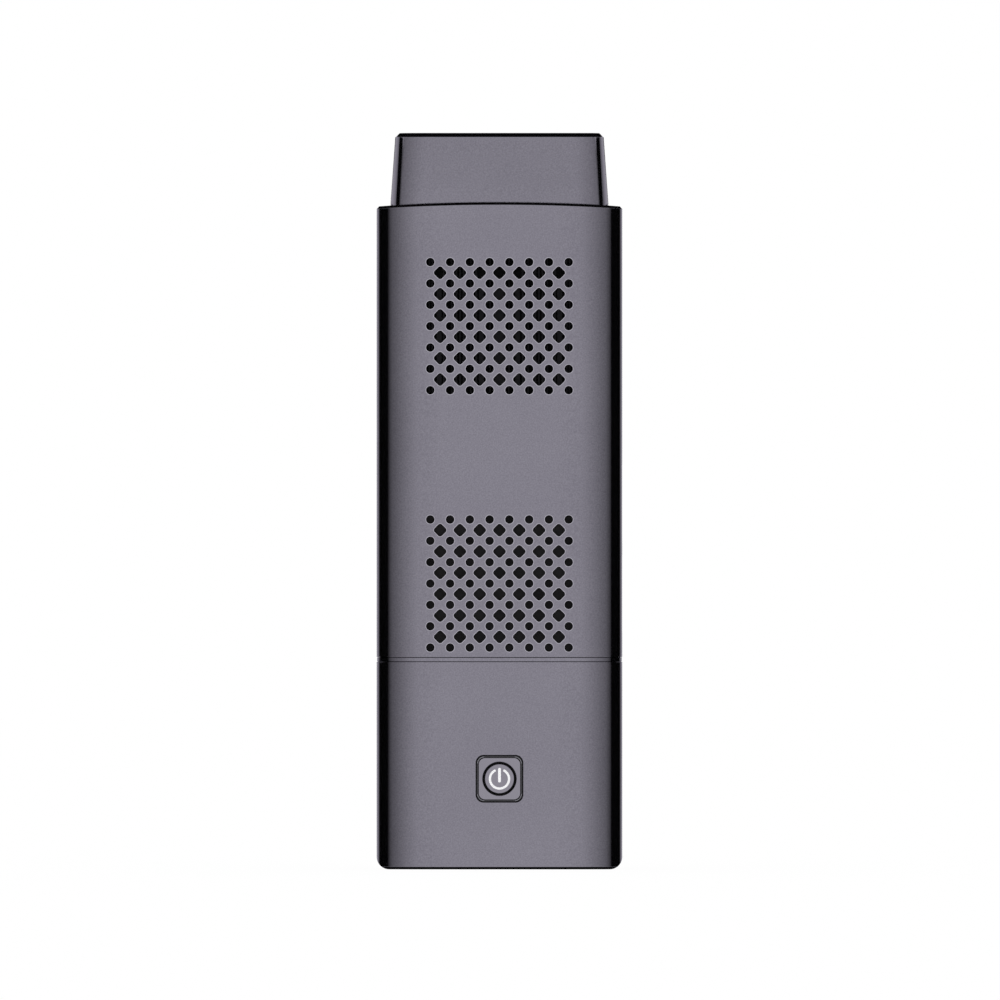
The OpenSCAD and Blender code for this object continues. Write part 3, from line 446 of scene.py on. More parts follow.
def cover(name, side, ends, finish):
    """One cover, swept from side to side. The ends give, from the parting line inwards, a height
    above the middle plane with the least and the most depth that the wall has there."""
    half = [(x, y, nx, ny, 0.0, wall) for x, y, nx, ny in quarter_section()]
    half += [(half_w, y, 1.0, 0.0, least, most) for y, least, most in ends]
    stations = [(-x, y, -nx, ny, least, most) for x, y, nx, ny, least, most in half[:0:-1]] + half
    rings = []
    for x, y, nx, ny, least, most in stations:
        depths = [(z, min(max(d, least), most)) for z, d in cover_wall(x, nx)]
        rings.append([(x - d * nx, side * (y - d * ny), z) for z, d in depths])
    return build(name, [skin(rings)], finish)


def maths(tree, operation, *values):
    """Adds a Math node, fed with values or sockets, and hands back its result."""
    return add_node(tree, "ShaderNodeMath", dict(enumerate(values)), operation=operation).outputs[0]


# Silver-violet metallic lacquer over ABS: a mirror-like ground broken by fine aluminium flake.
# The flake is about 0.05 mm and is drawn at 0.22 mm, so that its faint grain still shows.
flake_size, drift_size, flake_relief = 0.22, 14.0, 0.0006
paint = bpy.data.materials.new("metallic_lacquer_on_abs")
paint.use_nodes = True
paint_tree = paint.node_tree
shader = paint_tree.nodes["Principled BSDF"]
shader.inputs["Metallic"].default_value = 1.0
shader.inputs["Specular Tint"].default_value = linear("#ebe8f0")
place = add_node(paint_tree, "ShaderNodeTexCoord", {})
flake = add_node(paint_tree, "ShaderNodeTexNoise", {
    "Vector": place.outputs["Object"], "Scale": 1000 / flake_size, "Detail": 1.0})
drift = add_node(paint_tree, "ShaderNodeTexNoise", {
    "Vector": place.outputs["Object"], "Scale": 1000 / drift_size, "Detail": 2.0})
blend = maths(paint_tree, "MULTIPLY_ADD", drift.outputs["Fac"], 0.25, flake.outputs["Fac"])
spread = add_node(paint_tree, "ShaderNodeMapRange", {"Value": blend, "From Min": 0.35, "From Max": 0.9})
tone = add_node(paint_tree, "ShaderNodeMix", {
    0: spread.outputs["Result"], 6: linear("#797681"), 7: linear("#8b8893")}, data_type="RGBA")
gloss = add_node(paint_tree, "ShaderNodeMapRange", {
    "Value": flake.outputs["Fac"], "To Min": 0.11, "To Max": 0.17})
bump = add_node(paint_tree, "ShaderNodeBump", {
    "Strength": 1.0, "Distance": flake_relief * MM, "Height": flake.outputs["Fac"]})
paint_tree.links.new(tone.outputs[2], shader.inputs["Base Color"])
paint_tree.links.new(gloss.outputs["Result"], shader.inputs["Roughness"])
paint_tree.links.new(bump.outputs["Normal"], shader.inputs["Normal"])

front_ends = ((part_edge, 0.0, wall), (0.0, part_edge, wall),
              (0.0, lip_depth, wall), (-lip_h, lip_depth, wall))
rear_ends = ((lip_h + lip_room, 0.0, wall), (lip_h + lip_room, 0.0, rebate_depth),
             (part_gap + part_edge, 0.0, rebate_depth), (part_gap, part_edge, rebate_depth))
front_cover = cover("front_cover_shell", -1, front_ends, paint)
rear_cover = cover("rear_cover_shell", 1, rear_ends, paint)


def even_grid_tree():
    """Geometry nodes that set a shape on an even grid across X and Z, about the origin."""
    tree = bpy.data.node_groups.new("even_grid", "GeometryNodeTree")
    for name, kind in (("Shape", "Object"), ("Columns", "Int"), ("Rows", "Int"),
                       ("Column Pitch", "Float"), ("Row Pitch", "Float"), ("Finish", "Material")):
        tree.interface.new_socket(name, in_out="INPUT", socket_type="NodeSocket" + kind)
    tree.interface.new_socket("Geometry", in_out="OUTPUT", socket_type="NodeSocketGeometry")
    given = add_node(tree, "NodeGroupInput", {}).outputs
    index = add_node(tree, "GeometryNodeInputIndex", {}).outputs[0]
    count = maths(tree, "MULTIPLY", given["Columns"], given["Rows"])
    column = maths(tree, "MODULO", index, given["Columns"])
    row = maths(tree, "FLOOR", maths(tree, "DIVIDE", index, given["Columns"]))
    spots = []
    for step, number, pitch in ((column, "Columns", "Column Pitch"), (row, "Rows", "Row Pitch")):
        middle = maths(tree, "MULTIPLY_ADD", given[number], 0.5, -0.5)
        offset = maths(tree, "SUBTRACT", step, middle)
        spots.append(maths(tree, "MULTIPLY", offset, given[pitch]))
    spot = add_node(tree, "ShaderNodeCombineXYZ", {"X": spots[0], "Z": spots[1]})
    points = add_node(tree, "GeometryNodePoints", {"Count": count, "Position": spot.outputs[0]})
    shape = add_node(tree, "GeometryNodeObjectInfo", {"Object": given["Shape"], "As Instance": True})
    copies = add_node(tree, "GeometryNodeInstanceOnPoints", {
        "Points": points.outputs[0], "Instance": shape.outputs["Geometry"]})
    real = add_node(tree, "GeometryNodeRealizeInstances", {"Geometry": copies.outputs[0]})
    done = add_node(tree, "GeometryNodeSetMaterial", {
        "Geometry": real.outputs[0], "Material": given["Finish"]})
    add_node(tree, "NodeGroupOutput", {"Geometry": done.outputs[0]})
    return tree


even_grid = even_grid_tree()


def repeat(name, shape, columns, rows, pitch_x, pitch_z, centre, finish):
    """A plain mesh object of the shape repeated on the grid, its middle at centre; the shape is
    used up."""
    piece = bpy.data.objects.new(name, bpy.data.meshes.new(name))
    bpy.context.scene.collection.objects.link(piece)
    layer = piece.modifiers.new("grid", "NODES")
    layer.node_group = even_grid
    sizes = {"Shape": shape, "Columns": columns, "Rows": rows,
             "Column Pitch": pitch_x * MM, "Row Pitch": pitch_z * MM, "Finish": finish}
    for socket in even_grid.interface.items_tree:
        if socket.in_out == "INPUT":
            layer[socket.identifier] = sizes[socket.name]
    bake(piece)
    piece.data.transform(Matrix.Translation(Vector(centre) * MM))
    piece.data.materials.clear()
    piece.data.materials.append(finish)
    piece.data.polygons.foreach_set("material_index", [0] * len(piece.data.polygons))
    shade(piece.data)
    bpy.data.objects.remove(shape)
    return piece


def join(piece, *others):
    """Takes the meshes of other pieces into one."""
    shape = bmesh.new()
    shape.from_mesh(piece.data)
    for other in others:
        shape.from_mesh(other.data)
        bpy.data.objects.remove(other)
    shape.to_mesh(piece.data)
    shape.free()
    shade(piece.data)
    return piece


# A lighter copy of the lacquer for the shallow dish round each vent: a painted highlight, which draws a
# brighter hairline where the vent's edge catches the light
vent_rim_highlight = grained("metallic_lacquer_painted_highlight", "#aeabb6", "#b8b5c0", 0.22, (0.14, 0.2), 0.0006, 1.0)
dish_w, dish_d, dish_run, cut_spare = 0.15, 0.006, 1.8, 0.5


def vent_cutter(side, r):
    """Cutter for a square vent with rounded corners, turned on its corner; a shallow dish round its
    mouth comes first, and the dish is cut a little oversize so that it runs out of the face."""
    turn = math.sqrt(0.5)
    rings = []
    for y, grow in ((-dish_run * dish_d, dish_run * dish_w), (dish_d, 0.0), (wall + cut_spare, 0.0)):
        outline = rounded_rect(side + 2 * grow, side + 2 * grow, r + grow)
        rings.append([((u - v) * turn, y - half_t, (u + v) * turn) for u, v in outline])
    return skin(rings)


# Width, corner radius, columns and rows; a round vent's corners reach almost to its middle
vent_fields = (("round", vent_hole, vent_hole / 2 - 0.001, 8, 7),
               ("diamond", vent_diamond, vent_diamond_r, 7, 6))
vents = []
for z in vent_zs:
    for name, side, r, columns, rows in vent_fields:
        points, faces = vent_cutter(side, r)
        cutter = build(name + "_vent", [(points, faces)])
        field = repeat(name + "_vents", cutter, columns, rows, vent_pitch_x, vent_pitch_z, (0, 0, z), paint)
        # The dish round each vent takes the lighter lacquer, as a painted highlight
        field.data.materials.append(vent_rim_highlight)
        dish_faces = len(points) // 3
        field.data.polygons.foreach_set("material_index", [
            int(k % len(faces) < dish_faces) for k in range(len(field.data.polygons))])
        vents.append(field)
vents = join(vents[0], *vents[1:])
# The cutters follow the face where it starts to fall away
for corner in vents.data.vertices:
    corner.co.y += MM * max(0.0, abs(corner.co.x) / MM - flat_x) ** 2 / (2 * crown_r)
carve(front_cover, vents)

# Side, place across and up, width, length and corner radius of each opening
openings = ((1, 0.0, port_zs[0], 5.92, 13.3, 0.7), (1, 0.0, port_zs[1], 5.92, 13.3, 0.7),
            (-1, 0.0, inlet_window_z, 2.9, 7.7, 0.5), (-1, 1.675, card_z, 1.25, 11.8, 0.3))
# Their flare, as distance out of the side face and growth
flare = ((0.3, 0.42), (0.0, 0.12), (-0.05, 0.04), (-0.14, 0.0), (-wall - 1, 0.0))


def side_windows():
    """Cutters for the port, inlet and card openings, flared at the side faces."""
    solids = []
    for side, y, z, w, h, r in openings:
        rings = []
        for x, grow in flare:
            outline = rounded_rect(w + 2 * grow, h + 2 * grow, r + grow)
            rings.append([(side * (half_w + x), u + y, v + z) for u, v in outline])
        solids.append(skin(rings))
    return build("side_windows", solids)


def turned(profile, steps, x=0.0, z=0.0):
    """Rings of a turned shape along Y, given as places and radii."""
    angles = [math.tau * k / steps for k in range(steps)]
    return [[(x + r * math.cos(a), y, z + r * math.sin(a)) for a in angles] for y, r in profile]


carve(front_cover, side_windows())
carve(rear_cover, side_windows())
screw_spots = [(x, z) for x in (-screw_x, screw_x) for z in screw_zs]
head_seat, pocket_end = half_t - 1.6, 3.0
pocket = ((half_t + 0.2, head_hole_r), (head_seat, head_hole_r),
          (head_seat, shank_hole_r), (pocket_end, shank_hole_r))
carve(rear_cover, build("screw_pockets", [skin(turned(pocket, 48, x, z)) for x, z in screw_spots]))
for piece, node, y0, y1 in ((front_cover, "front_cover", boss_fall - half_t + wall, -board_half),
                            (rear_cover, "rear_cover", board_half, head_seat - boss_drop)):
    boss = ((y0, boss_r), (y1, boss_r), (y1, shank_hole_r), (y0, shank_hole_r))
    bosses = build("screw_bosses", [skin(turned(boss, 32, x, z), loop=True) for x, z in screw_spots], paint)
    join(piece, bosses)
    even_out(piece)
    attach(piece, "case")
    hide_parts(node)


# Case screws. Four cold-headed steel screws with cross recesses, blackened, sunk in pockets in
# the rear cover and driven through the board into the front cover's bosses.

# Black oxide is a thin matt skin that shows the bare steel a little at the edges
black_steel = grained("black_oxide_steel", "#3a3b3f", "#515257", 0.25, (0.32, 0.45), 0.004, 0.9)
head_top, head_r, shank_r = head_seat + 1.2, 1.8, 0.95
cross_l, cross_w, cross_round, cross_depth, cross_taper = 2.1, 0.42, 0.1, 0.6, 0.8
screw_profile = ((-3.8, 0.7), (-3.5, shank_r), (head_seat, shank_r), (head_seat, head_r),
                 (head_top - 0.35, head_r), (head_top - 0.15, 1.72), (head_top - 0.03, 1.5), (head_top, 1.2))
screw = build("case_screw", [skin(turned(screw_profile, 32))])
for a, b in ((cross_l, cross_w), (cross_w, cross_l)):
    wing = [[(u * taper, y, v * taper) for u, v in rounded_rect(a, b, cross_round, 2)]
            for y, taper in ((head_top + 0.1, 1.0), (head_top - cross_depth, cross_taper))]
    carve(screw, build("cross_recess", [skin(wing)]))
case_screws = repeat("case_screw_set", screw, 2, 2, 2 * screw_x, screw_zs[0] - screw_zs[1],
                     (0, 0, sum(screw_zs) / 2), black_steel)
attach(case_screws, "case")
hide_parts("case_screws")


# Tail cover. One moulded cup in the same paint closes the lower third: rounded base, a fine
# groove below the covers, and a neck with a snap bead that the covers close round.

tail_corner, tail_chamfer, floor_t = 2.05, 0.4, 2.2
line_w, line_soft, strip_d = 0.09, 0.02, 0.06
neck_top, neck_root, neck_out, neck_in, neck_soft = 37.73, 32.71, 2.1, 3.0, 0.15
bead_out, bead_flat, bead_foot = 0.3, 0.15, 0.4
floor_round, corner_spare = 0.5, 1.0
relief_w, relief_h, relief_r, relief_z = 25.02, 6.0, 0.3, 37.53
button_z, recess_w, recess_r, recess_break, recess_flare = 14.75, 7.69, 1.26, 0.06, 0.08


def tail_levels():
    """From the middle of the base up the outside, over the neck and down to the floor inside."""
    strip_low, strip_high = seam_low + line_w, seam_high - line_w
    return broken_edge(tail_chamfer, soft_r)[::-1] + [
        (seam_low - line_soft, 0.0), (seam_low, line_soft), (seam_low + line_w / 2, seam_d),
        (strip_low, strip_d + line_soft), (strip_low + line_soft, strip_d), (strip_high - line_soft, strip_d),
        (strip_high, strip_d + line_soft), (seam_high - line_w / 2, seam_d), (seam_high, wall / 2),
        (seam_high, neck_out), (bead_z - bead_foot, neck_out),
        (bead_z - bead_flat, neck_out - bead_out), (bead_z + bead_flat, neck_out - bead_out),
        (bead_z + bead_foot, neck_out), (neck_top - neck_soft, neck_out), (neck_top, neck_out + neck_soft),
        (neck_top, neck_in), (neck_root, neck_in), (neck_root, wall),
        (floor_t + floor_round, wall), (floor_t, wall + floor_round)]


quarter = quarter_section()
section = [(x, -y, nx, -ny) for x, y, nx, ny in quarter]
section += [(x, y, nx, ny) for x, y, nx, ny in quarter[::-1]]
section += [(-x, y, -nx, ny) for x, y, nx, ny in quarter[1:]]
section += [(-x, -y, -nx, -ny) for x, y, nx, ny in quarter[:0:-1]]
tail_rings = [[(x - d * nx, y - d * ny, z) for x, y, nx, ny in section] for z, d in tail_levels()]
tail = build("tail_cover_shell", [skin(tail_rings)], paint)


def corner_waste(side):
    """What is cut away from front to back to round a bottom corner; the arc stops just short of
    both faces, so that no sliver is cut off them."""
    x, r = half_w - tail_corner, tail_corner
    turn = [math.radians(a) for a in range(-88, 0, 2)]
    arc = [(x + r * math.cos(a), r + r * math.sin(a)) for a in turn]
    far = half_w + corner_spare
    outline = [(arc[0][0], -corner_spare), *arc, (far, arc[-1][1]), (far, -corner_spare)]
    ends = (-half_t - corner_spare, half_t + corner_spare)
    return skin([[(side * u, y, v) for u, v in outline] for y in ends])


carve(tail, build("corner_waste", [corner_waste(-1), corner_waste(1)]))
recess_rings = []
for y, grow in ((-half_t - recess_break, recess_flare), (recess_break - half_t, 0.0),
                (cut_spare - half_t + wall, 0.0)):
    outline = rounded_rect(recess_w + 2 * grow, recess_w + 2 * grow, recess_r + grow, 10)
    recess_rings.append([(u, y, v + button_z) for u, v in outline])
carve(tail, build("button_recess", [skin(recess_rings)]))
relief = rounded_rect(relief_w, relief_h, relief_r, 3)
carve(tail, build("neck_relief", [skin([[(u, y, v + relief_z) for u, v in relief] for y in (-half_t, 0.0)])]))
even_out(tail)
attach(tail, "case")
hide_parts("tail_cover")


# Button frame, round button and its symbol. The square frame is a moulded insert with a groove
# round it; the button sits flush in it and carries a white pad-printed power sign. Behind it is
# a small push switch with a pale plunger.

frame_w, frame_r, frame_face, frame_back = 6.72, 1.02, -6.95, -3.8
groove_floor, slot_floor, insert_seat = -6.75, -6.2, wall - half_t
# From the frame outwards: the inner slot's far side, the outer slot's near side, the insert's edge
inner_w, inner_r = frame_w + 0.24, frame_r - 0.05
outer_w, outer_r = recess_w - 0.44, recess_r - 0.13
insert_w, insert_r, flange_w = recess_w - 0.2, recess_r - 0.05, recess_w + 2.2
key_hole_r, button_r, key_edge = 2.77, 2.37, 0.05
skirt_front, skirt_back, skirt_r, stem_r, stem_end = -3.75, -3.25, 3.26, 1.1, -2.7
sign_z, ring_r, ring_stroke, ring_gap = button_z - 0.03, 1.555, 0.37, 24.0
bar_w, bar_top, bar_foot, ink_proud, ink_sunk = 0.45, 1.8, -0.56, 0.02, 0.03

# The insert and button are black ABS, sprayed smooth on their faces alone: a little lighter than
# the covers and without visible flake
bare_abs = grained("bare_black_abs", "#35343a", "#414046", 0.15, (0.4, 0.5), 0.006)
satin = grained("smooth_metallic_lacquer", "#8a8791", "#8e8b95", 6.0, (0.14, 0.17), 0.001, 1.0)


def circle_like(r, steps=15):
    """A circle with as many points, in the same order, as a rounded rectangle."""
    angles = [90 * k + 45 + 88 * (s / steps - 0.5) for k in range(4) for s in range(steps + 1)]
    return [(r * math.cos(math.radians(a)), r * math.sin(math.radians(a))) for a in angles]


def square_like(w, r):
    """A rounded square with as many points as that circle."""
    return rounded_rect(w, w, r, 15)


frame_rings = [
    (circle_like(key_hole_r), frame_back), (circle_like(key_hole_r), frame_face + key_edge),
    (circle_like(key_hole_r + key_edge), frame_face), (square_like(frame_w, frame_r), frame_face),
    (square_like(frame_w, frame_r), slot_floor), (square_like(inner_w, inner_r), slot_floor),
    (square_like(inner_w, inner_r), groove_floor), (square_like(outer_w, outer_r), groove_floor),
    (square_like(outer_w, outer_r), slot_floor), (square_like(insert_w, insert_r), slot_floor),
    (square_like(insert_w, insert_r), insert_seat), (square_like(flange_w, insert_r), insert_seat),
    (square_like(flange_w, insert_r), frame_back)]
bezel = build("square_button_frame", [skin([
    [(u, y, v + button_z) for u, v in outline] for outline, y in frame_rings], loop=True)], bare_abs)
coat_front_faces(bezel, satin)
# In the corners of the groove the middle strip is given a grey as a painted highlight, and the slots beside
# it the blacker nylon as painted shade
corner_highlight_abs = grained("black_abs_painted_highlight", "#77767e", "#7f7e86", 0.15, (0.3, 0.4), 0.004)
bezel.data.materials.append(corner_highlight_abs)
bezel.data.materials.append(black_plastic)
corner_from, near = frame_w / 2 - frame_r - 0.1, 0.01
# Faces in the groove's corners: the strip takes the painted highlight, the deeper slot faces the painted
# shade
for face in bezel.data.polygons:
    u, v, y = abs(face.center.x) / MM, abs(face.center.z / MM - button_z), face.center.y / MM
    if min(u, v) > corner_from and groove_floor - near < y < insert_seat - near:
        face.material_index = 2 if y < groove_floor + near else 3
even_out(bezel)
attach(bezel, "case")
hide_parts("button_bezel")

button_profile = (
    (frame_face, button_r - key_edge), (frame_face + key_edge, button_r), (skirt_front, button_r),
    (skirt_front, skirt_r), (skirt_back, skirt_r), (skirt_back, stem_r), (stem_end, stem_r))
button = build("round_button", [skin(turned(button_profile, 72, z=button_z))], black_plastic)
coat_front_faces(button, satin)
even_out(button)
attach(button, "button")
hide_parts("power_button")

# Pad-printing ink is an even, slightly matt white film
white_ink = grained("white_printing_ink", "#fcfcff", "#ffffff", 0.15, (0.45, 0.55), 0.002)
# Stations round the ring, clockwise from the top, with the share of the stroke; its ends are rounded
ring_end = [(ring_gap, 0.65), (ring_gap + 1.5, 0.88), (ring_gap + 4.0, 1.0)]
ring_stations = ring_end + [(ring_gap + (360 - 2 * ring_gap) * k / 60, 1.0) for k in range(1, 60)]
ring_stations += [(360 - degrees, share) for degrees, share in ring_end[::-1]]
ink_front, ink_back = frame_face - ink_proud, frame_face + ink_sunk
ring = []
for degrees, share in ring_stations:
    c, s = math.sin(math.radians(degrees)), math.cos(math.radians(degrees))
    inner, outer = ring_r - ring_stroke / 2 * share, ring_r + ring_stroke / 2 * share
    corners = ((inner, ink_front), (outer, ink_front), (outer, ink_back), (inner, ink_back))
    ring.append([(r * c, y, sign_z + r * s) for r, y in corners])
bar_outline = rounded_rect(bar_w, bar_top - bar_foot, bar_w / 2 - 0.01, 8)
bar_z = (bar_top + bar_foot) / 2
bar = [[(u, y, sign_z + v + bar_z) for u, v in bar_outline] for y in (ink_front, ink_back)]
sign = build("printed_power_sign", [skin(ring), skin(bar)], white_ink)
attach(sign, "button")
dress(black_plastic, "switch_body")
dress(grained("natural_acetal", "#cfcfca", "#deded8", 0.3, (0.35, 0.45), 0.004), "switch_plunger")


# End plate and plug cap. A black moulded plate closes the mouth round the plug; the hollow cap
# over the plug is lofted from a wide rim to a smaller top, painted like the covers, and pulls
# straight off.

dress(black_plastic, "end_plate")
cap_w, cap_t, cap_side_lean, cap_face_lean = 17.75, 4.85, 0.8, 0.72
cap_low, cap_high, cap_chamfer, cap_wall = 106.7, 119.88, 0.67, 1.15
cap_edge_r, cap_edge_end, cap_shoulder_r, cap_shoulder_end = 1.25, math.radians(64), 17.0, math.radians(13)
cap_roof, cap_foot_break = 0.9, 0.1
rib_x, rib_half, rib_face, rib_foot, rib_sink = 4.0, 0.5, 2.325, 0.5, 0.6


def cap_ring(w, t, z):
    """Outline of the cap: bowed sides, tight edges and shoulders running into flat faces."""
    a1, a2 = cap_shoulder_end, cap_edge_end
    rise = cap_shoulder_r * (1 - math.cos(a1)) + cap_edge_r * (math.cos(a1) - math.cos(a2))
    side_r = (t - rise) / math.cos(a2)
    side_x, edge_out, face_out = w - side_r, side_r - cap_edge_r, cap_shoulder_r - cap_edge_r
    edge_x, edge_y = side_x + edge_out * math.sin(a2), edge_out * math.cos(a2)
    face_x, face_y = edge_x - face_out * math.sin(a1), edge_y - face_out * math.cos(a1)
    quarter = [(w, 0.0)]
    for x, y, r, start, end, steps in ((side_x, 0.0, side_r, math.pi / 2, a2, 10),
                                       (edge_x, edge_y, cap_edge_r, a2, a1, 8),
                                       (face_x, face_y, cap_shoulder_r, a1, 0.0, 10)):
        for k in range(1, steps + 1):
            a = start + (end - start) * k / steps
            quarter.append((x + r * math.sin(a), y + r * math.cos(a)))
    outline = quarter + [(-x, y) for x, y in quarter[::-1]] + [(-x, -y) for x, y in quarter[1:]]
    outline += [(x, -y) for x, y in quarter[:0:-1]]
    return [(x, y, z) for x, y in outline]


def cap_level(z, inset):
    """Half width and half thickness of the cap at a height, less an inset."""
    share = max(0.0, (z - body_h) / (cap_high - body_h))
    return cap_w - cap_side_lean * share - inset, cap_t - cap_face_lean * share - inset


# From the roof down the inside, round the foot and up the outside, as heights and insets
cap_profile = [(cap_high - cap_roof, cap_wall), (body_h, cap_wall), (cap_low, cap_wall),
               (cap_low, cap_foot_break), (cap_low + cap_foot_break, 0.0),
               (body_h, 0.0), (body_h + 4, 0.0), (body_h + 8, 0.0)]
cap_profile += [(cap_high - drop, depth) for drop, depth in broken_edge(cap_chamfer, soft_r)]
cap_rings = [cap_ring(*cap_level(z, inset), z) for z, inset in cap_profile]
cap_ribs = []
for x in (-rib_x, rib_x):
    for side in (-1, 1):
        rib_rings = []
        for z in (body_h + rib_foot, cap_high - cap_roof):
            root = cap_level(z, rib_sink)[1]
            outline = ((-rib_half, rib_face), (rib_half, rib_face), (rib_half, root), (-rib_half, root))
            rib_rings.append([(x + u, side * v, z) for u, v in outline])
        cap_ribs.append(skin(rib_rings))
cap = build("plug_cap_shell", [skin(cap_rings), *cap_ribs], paint)
even_out(cap)
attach(cap, "cap")
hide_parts("plug_cap")


# White studio. The stick stands on a pale floor in an even white room with a soft upright light in
# front. Narrow strips of black card beside the long edges and over the rims, which only the glossy
# paint sees, draw the dark lines round its faces.

paper = grained("white_paper", "#fefefe", "#ffffff", 2.0, (0.9, 0.95), 0.002, ior=1.0)
floor_half, white_share = 3000, 0.94
floor_corners = [(i * floor_half, j * floor_half, 0) for i, j in ((-1, -1), (1, -1), (1, 1), (-1, 1))]
floor = build("studio_floor", [(floor_corners, [(0, 1, 2, 3)])], paper)
floor.visible_glossy = False
# Most of what the camera sees of the paper is plain white, so only a faint shadow stays on it
paper_tree = paper.node_tree
path = add_node(paper_tree, "ShaderNodeLightPath", {})
white = add_node(paper_tree, "ShaderNodeEmission", {"Color": (1.0, 1.0, 1.0, 1.0), "Strength": 1.0})
seen_share = maths(paper_tree, "MULTIPLY", path.outputs["Is Camera Ray"], white_share)
seen = add_node(paper_tree, "ShaderNodeMixShader", {
    0: seen_share, 1: paper_tree.nodes["Principled BSDF"].outputs[0], 2: white.outputs[0]})
paper_tree.links.new(seen.outputs[0], paper_tree.nodes["Material Output"].inputs["Surface"])

card_gap, card_front, card_back, fade_low, fade_high, fade_turn = 1.2, 7.8, 2.2, 2.35, 3.85, 0.007
rim_gap, rim_card_half, roof_card_in, roof_card_out = 0.25, 0.6, 0.8, 0.6
cap_card_gap, cap_card_front, cap_card_back, cap_card_turn = 1.0, 1.5, -2.1, 0.25
# Card stock dyed through, with a dull tooth
black_card = grained("black_card", "#040404", "#070707", 1.0, (0.9, 0.95), 0.002, ior=1.0)

# The long edges' cards fade out towards the middle of the sides, so that their reflections end softly,
# the right-hand ones a little further back, as the stick stands turned by a hair
faded_card = grained("faded_black_card", "#040404", "#070707", 1.0, (0.9, 0.95), 0.002, ior=1.0)
card_tree = faded_card.node_tree
place = add_node(card_tree, "ShaderNodeTexCoord", {})
axes = add_node(card_tree, "ShaderNodeSeparateXYZ", {"Vector": place.outputs["Object"]})
off_middle = maths(card_tree, "ABSOLUTE", axes.outputs["Y"])
off_fade = maths(card_tree, "MULTIPLY_ADD", axes.outputs["X"], fade_turn, off_middle)
fade = add_node(card_tree, "ShaderNodeMapRange", {
    "Value": off_fade, "From Min": fade_low * MM, "From Max": fade_high * MM},
    interpolation_type="SMOOTHSTEP")
card_tree.links.new(fade.outputs["Result"], card_tree.nodes["Principled BSDF"].inputs["Alpha"])


def band(inner, outer):
    """An open band between two closed rings of points."""
    points, faces = skin([inner, outer])
    return points, faces[:-2]


def case_band(height):
    """A band round the case, half inside and half outside its outline, at a height given across X."""
    return band(*([(x + o * nx, y + o * ny, height(x)) for x, y, nx, ny in section]
                  for o in (-rim_card_half, rim_card_half)))


one_face = [(0, 1, 2, 3)]
cards, edge_cards = [], []
for i in (-1, 1):
    for j in (-1, 1):
        x = i * (half_w + card_gap)
        ends = ((card_front, 0), (card_back, 0), (card_back, body_h), (card_front, body_h))
        edge_cards.append(([(x, j * y, z) for y, z in ends], one_face))
        corners = []
        for z, y0, y1, shift in ((rim(cap_w), cap_card_front, cap_card_back, cap_card_turn),
                                 (cap_high, cap_card_back, cap_card_front, -cap_card_turn)):
            w, t = cap_level(z, 0.0)
            corners += [(i * (w + cap_card_gap), j * (t + y + shift), z) for y in (y0, y1)]
        cards.append((corners, one_face))
cards.append(case_band(lambda x: rim(x) + rim_gap))
cards.append(case_band(lambda x: -rim_gap))
roof_z = cap_high + rim_gap
cards.append(band(*(cap_ring(*cap_level(cap_high, inset), roof_z)
                    for inset in (roof_card_in, -roof_card_out))))
for flags in (build("black_flags", cards, black_card), build("faded_flags", edge_cards, faded_card)):
    flags.visible_camera = flags.visible_diffuse = False
    flags.visible_shadow = flags.visible_transmission = False

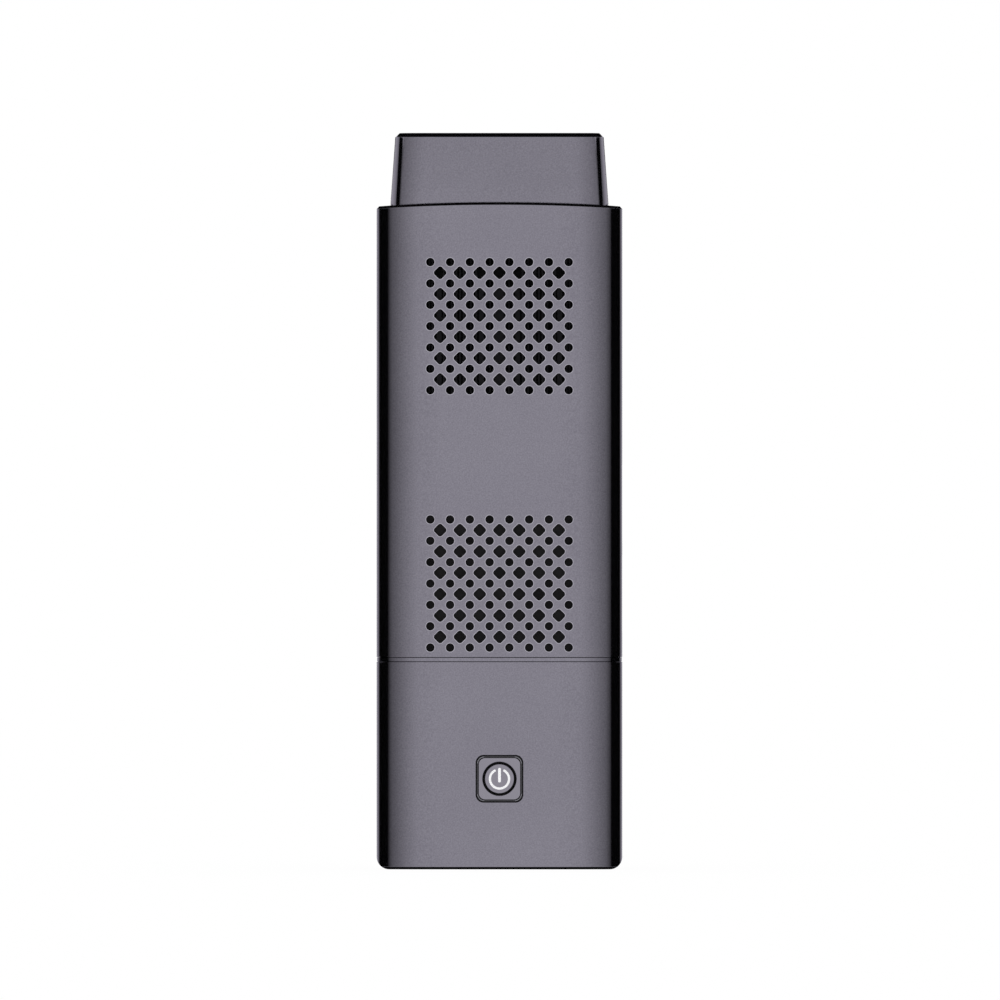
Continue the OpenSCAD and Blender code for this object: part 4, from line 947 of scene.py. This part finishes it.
# The room's light by angle from straight in front, in degrees: a softbox that falls off to the sides
# and reaches a little further to the right, dark gaps beside it, and white walls behind
room_lights = ((0, 1.05), (17, 0.72), (25, 0.53), (32, 0.34), (45, 0.21), (58, 0.02), (68, 0.05), (80, 0.9),
               (102, 0.9), (118, 0.05), (138, 0.73), (155, 0.72), (170, 0.7), (180, 1.0))
right_reach, wall_sine, ceiling_sine = 0.026, 0.17, 0.36
world = bpy.data.worlds.new("white_studio")
bpy.context.scene.world = world
world.use_nodes = True
room_tree = world.node_tree
way = add_node(room_tree, "ShaderNodeTexCoord", {}).outputs["Generated"]
facing = add_node(room_tree, "ShaderNodeVectorMath", {0: way, 1: (0.0, -1.0, 0.0)}, operation="DOT_PRODUCT")
angle = maths(room_tree, "ARCCOSINE", facing.outputs["Value"])
half_turns = maths(room_tree, "DIVIDE", angle, math.pi)
axes = add_node(room_tree, "ShaderNodeSeparateXYZ", {"Vector": way})
right = maths(room_tree, "MAXIMUM", axes.outputs["X"], 0.0)
reach = maths(room_tree, "MULTIPLY_ADD", right, -right_reach, half_turns)
softbox = add_node(room_tree, "ShaderNodeValToRGB", {"Fac": reach})
stops = softbox.color_ramp.elements
for degrees, light in room_lights:
    stop = stops.new(degrees / 180)
    stop.color = (light, light, light, 1.0)
stops.remove(stops[0])
stops.remove(stops[-1])
tilt = maths(room_tree, "ABSOLUTE", axes.outputs["Z"])
overhead = add_node(room_tree, "ShaderNodeMapRange", {
    "Value": tilt, "From Min": wall_sine, "From Max": ceiling_sine})
room = add_node(room_tree, "ShaderNodeMix", {
    0: overhead.outputs["Result"], 2: softbox.outputs["Color"], 3: 1.0}, data_type="FLOAT")
# Only reflections see the room in this detail, and all else is evenly white
path = add_node(room_tree, "ShaderNodeLightPath", {})
level = add_node(room_tree, "ShaderNodeMix", {
    0: path.outputs["Is Glossy Ray"], 2: 1.0, 3: room.outputs[0]}, data_type="FLOAT")
backdrop = room_tree.nodes["Background"]
backdrop.inputs["Color"].default_value = (1.0, 1.0, 1.0, 1.0)
room_tree.links.new(level.outputs[0], backdrop.inputs["Strength"])

# A long lens square to the face, framed so that 1000 pixels span this width at the middle plane
view_w, camera_x, camera_z = 162.96, 0.085, 60.11
lens = bpy.data.cameras.new("long_lens")
lens.lens, lens.sensor_width = 1000.0, 36.0
camera = bpy.data.objects.new("long_lens", lens)
camera.location = Vector((camera_x, -view_w * lens.lens / lens.sensor_width, camera_z)) * MM
camera.rotation_euler = (math.pi / 2, 0.0, 0.0)
bpy.context.scene.collection.objects.link(camera)
bpy.context.scene.camera = camera
bpy.context.scene.view_settings.view_transform = "Standard"
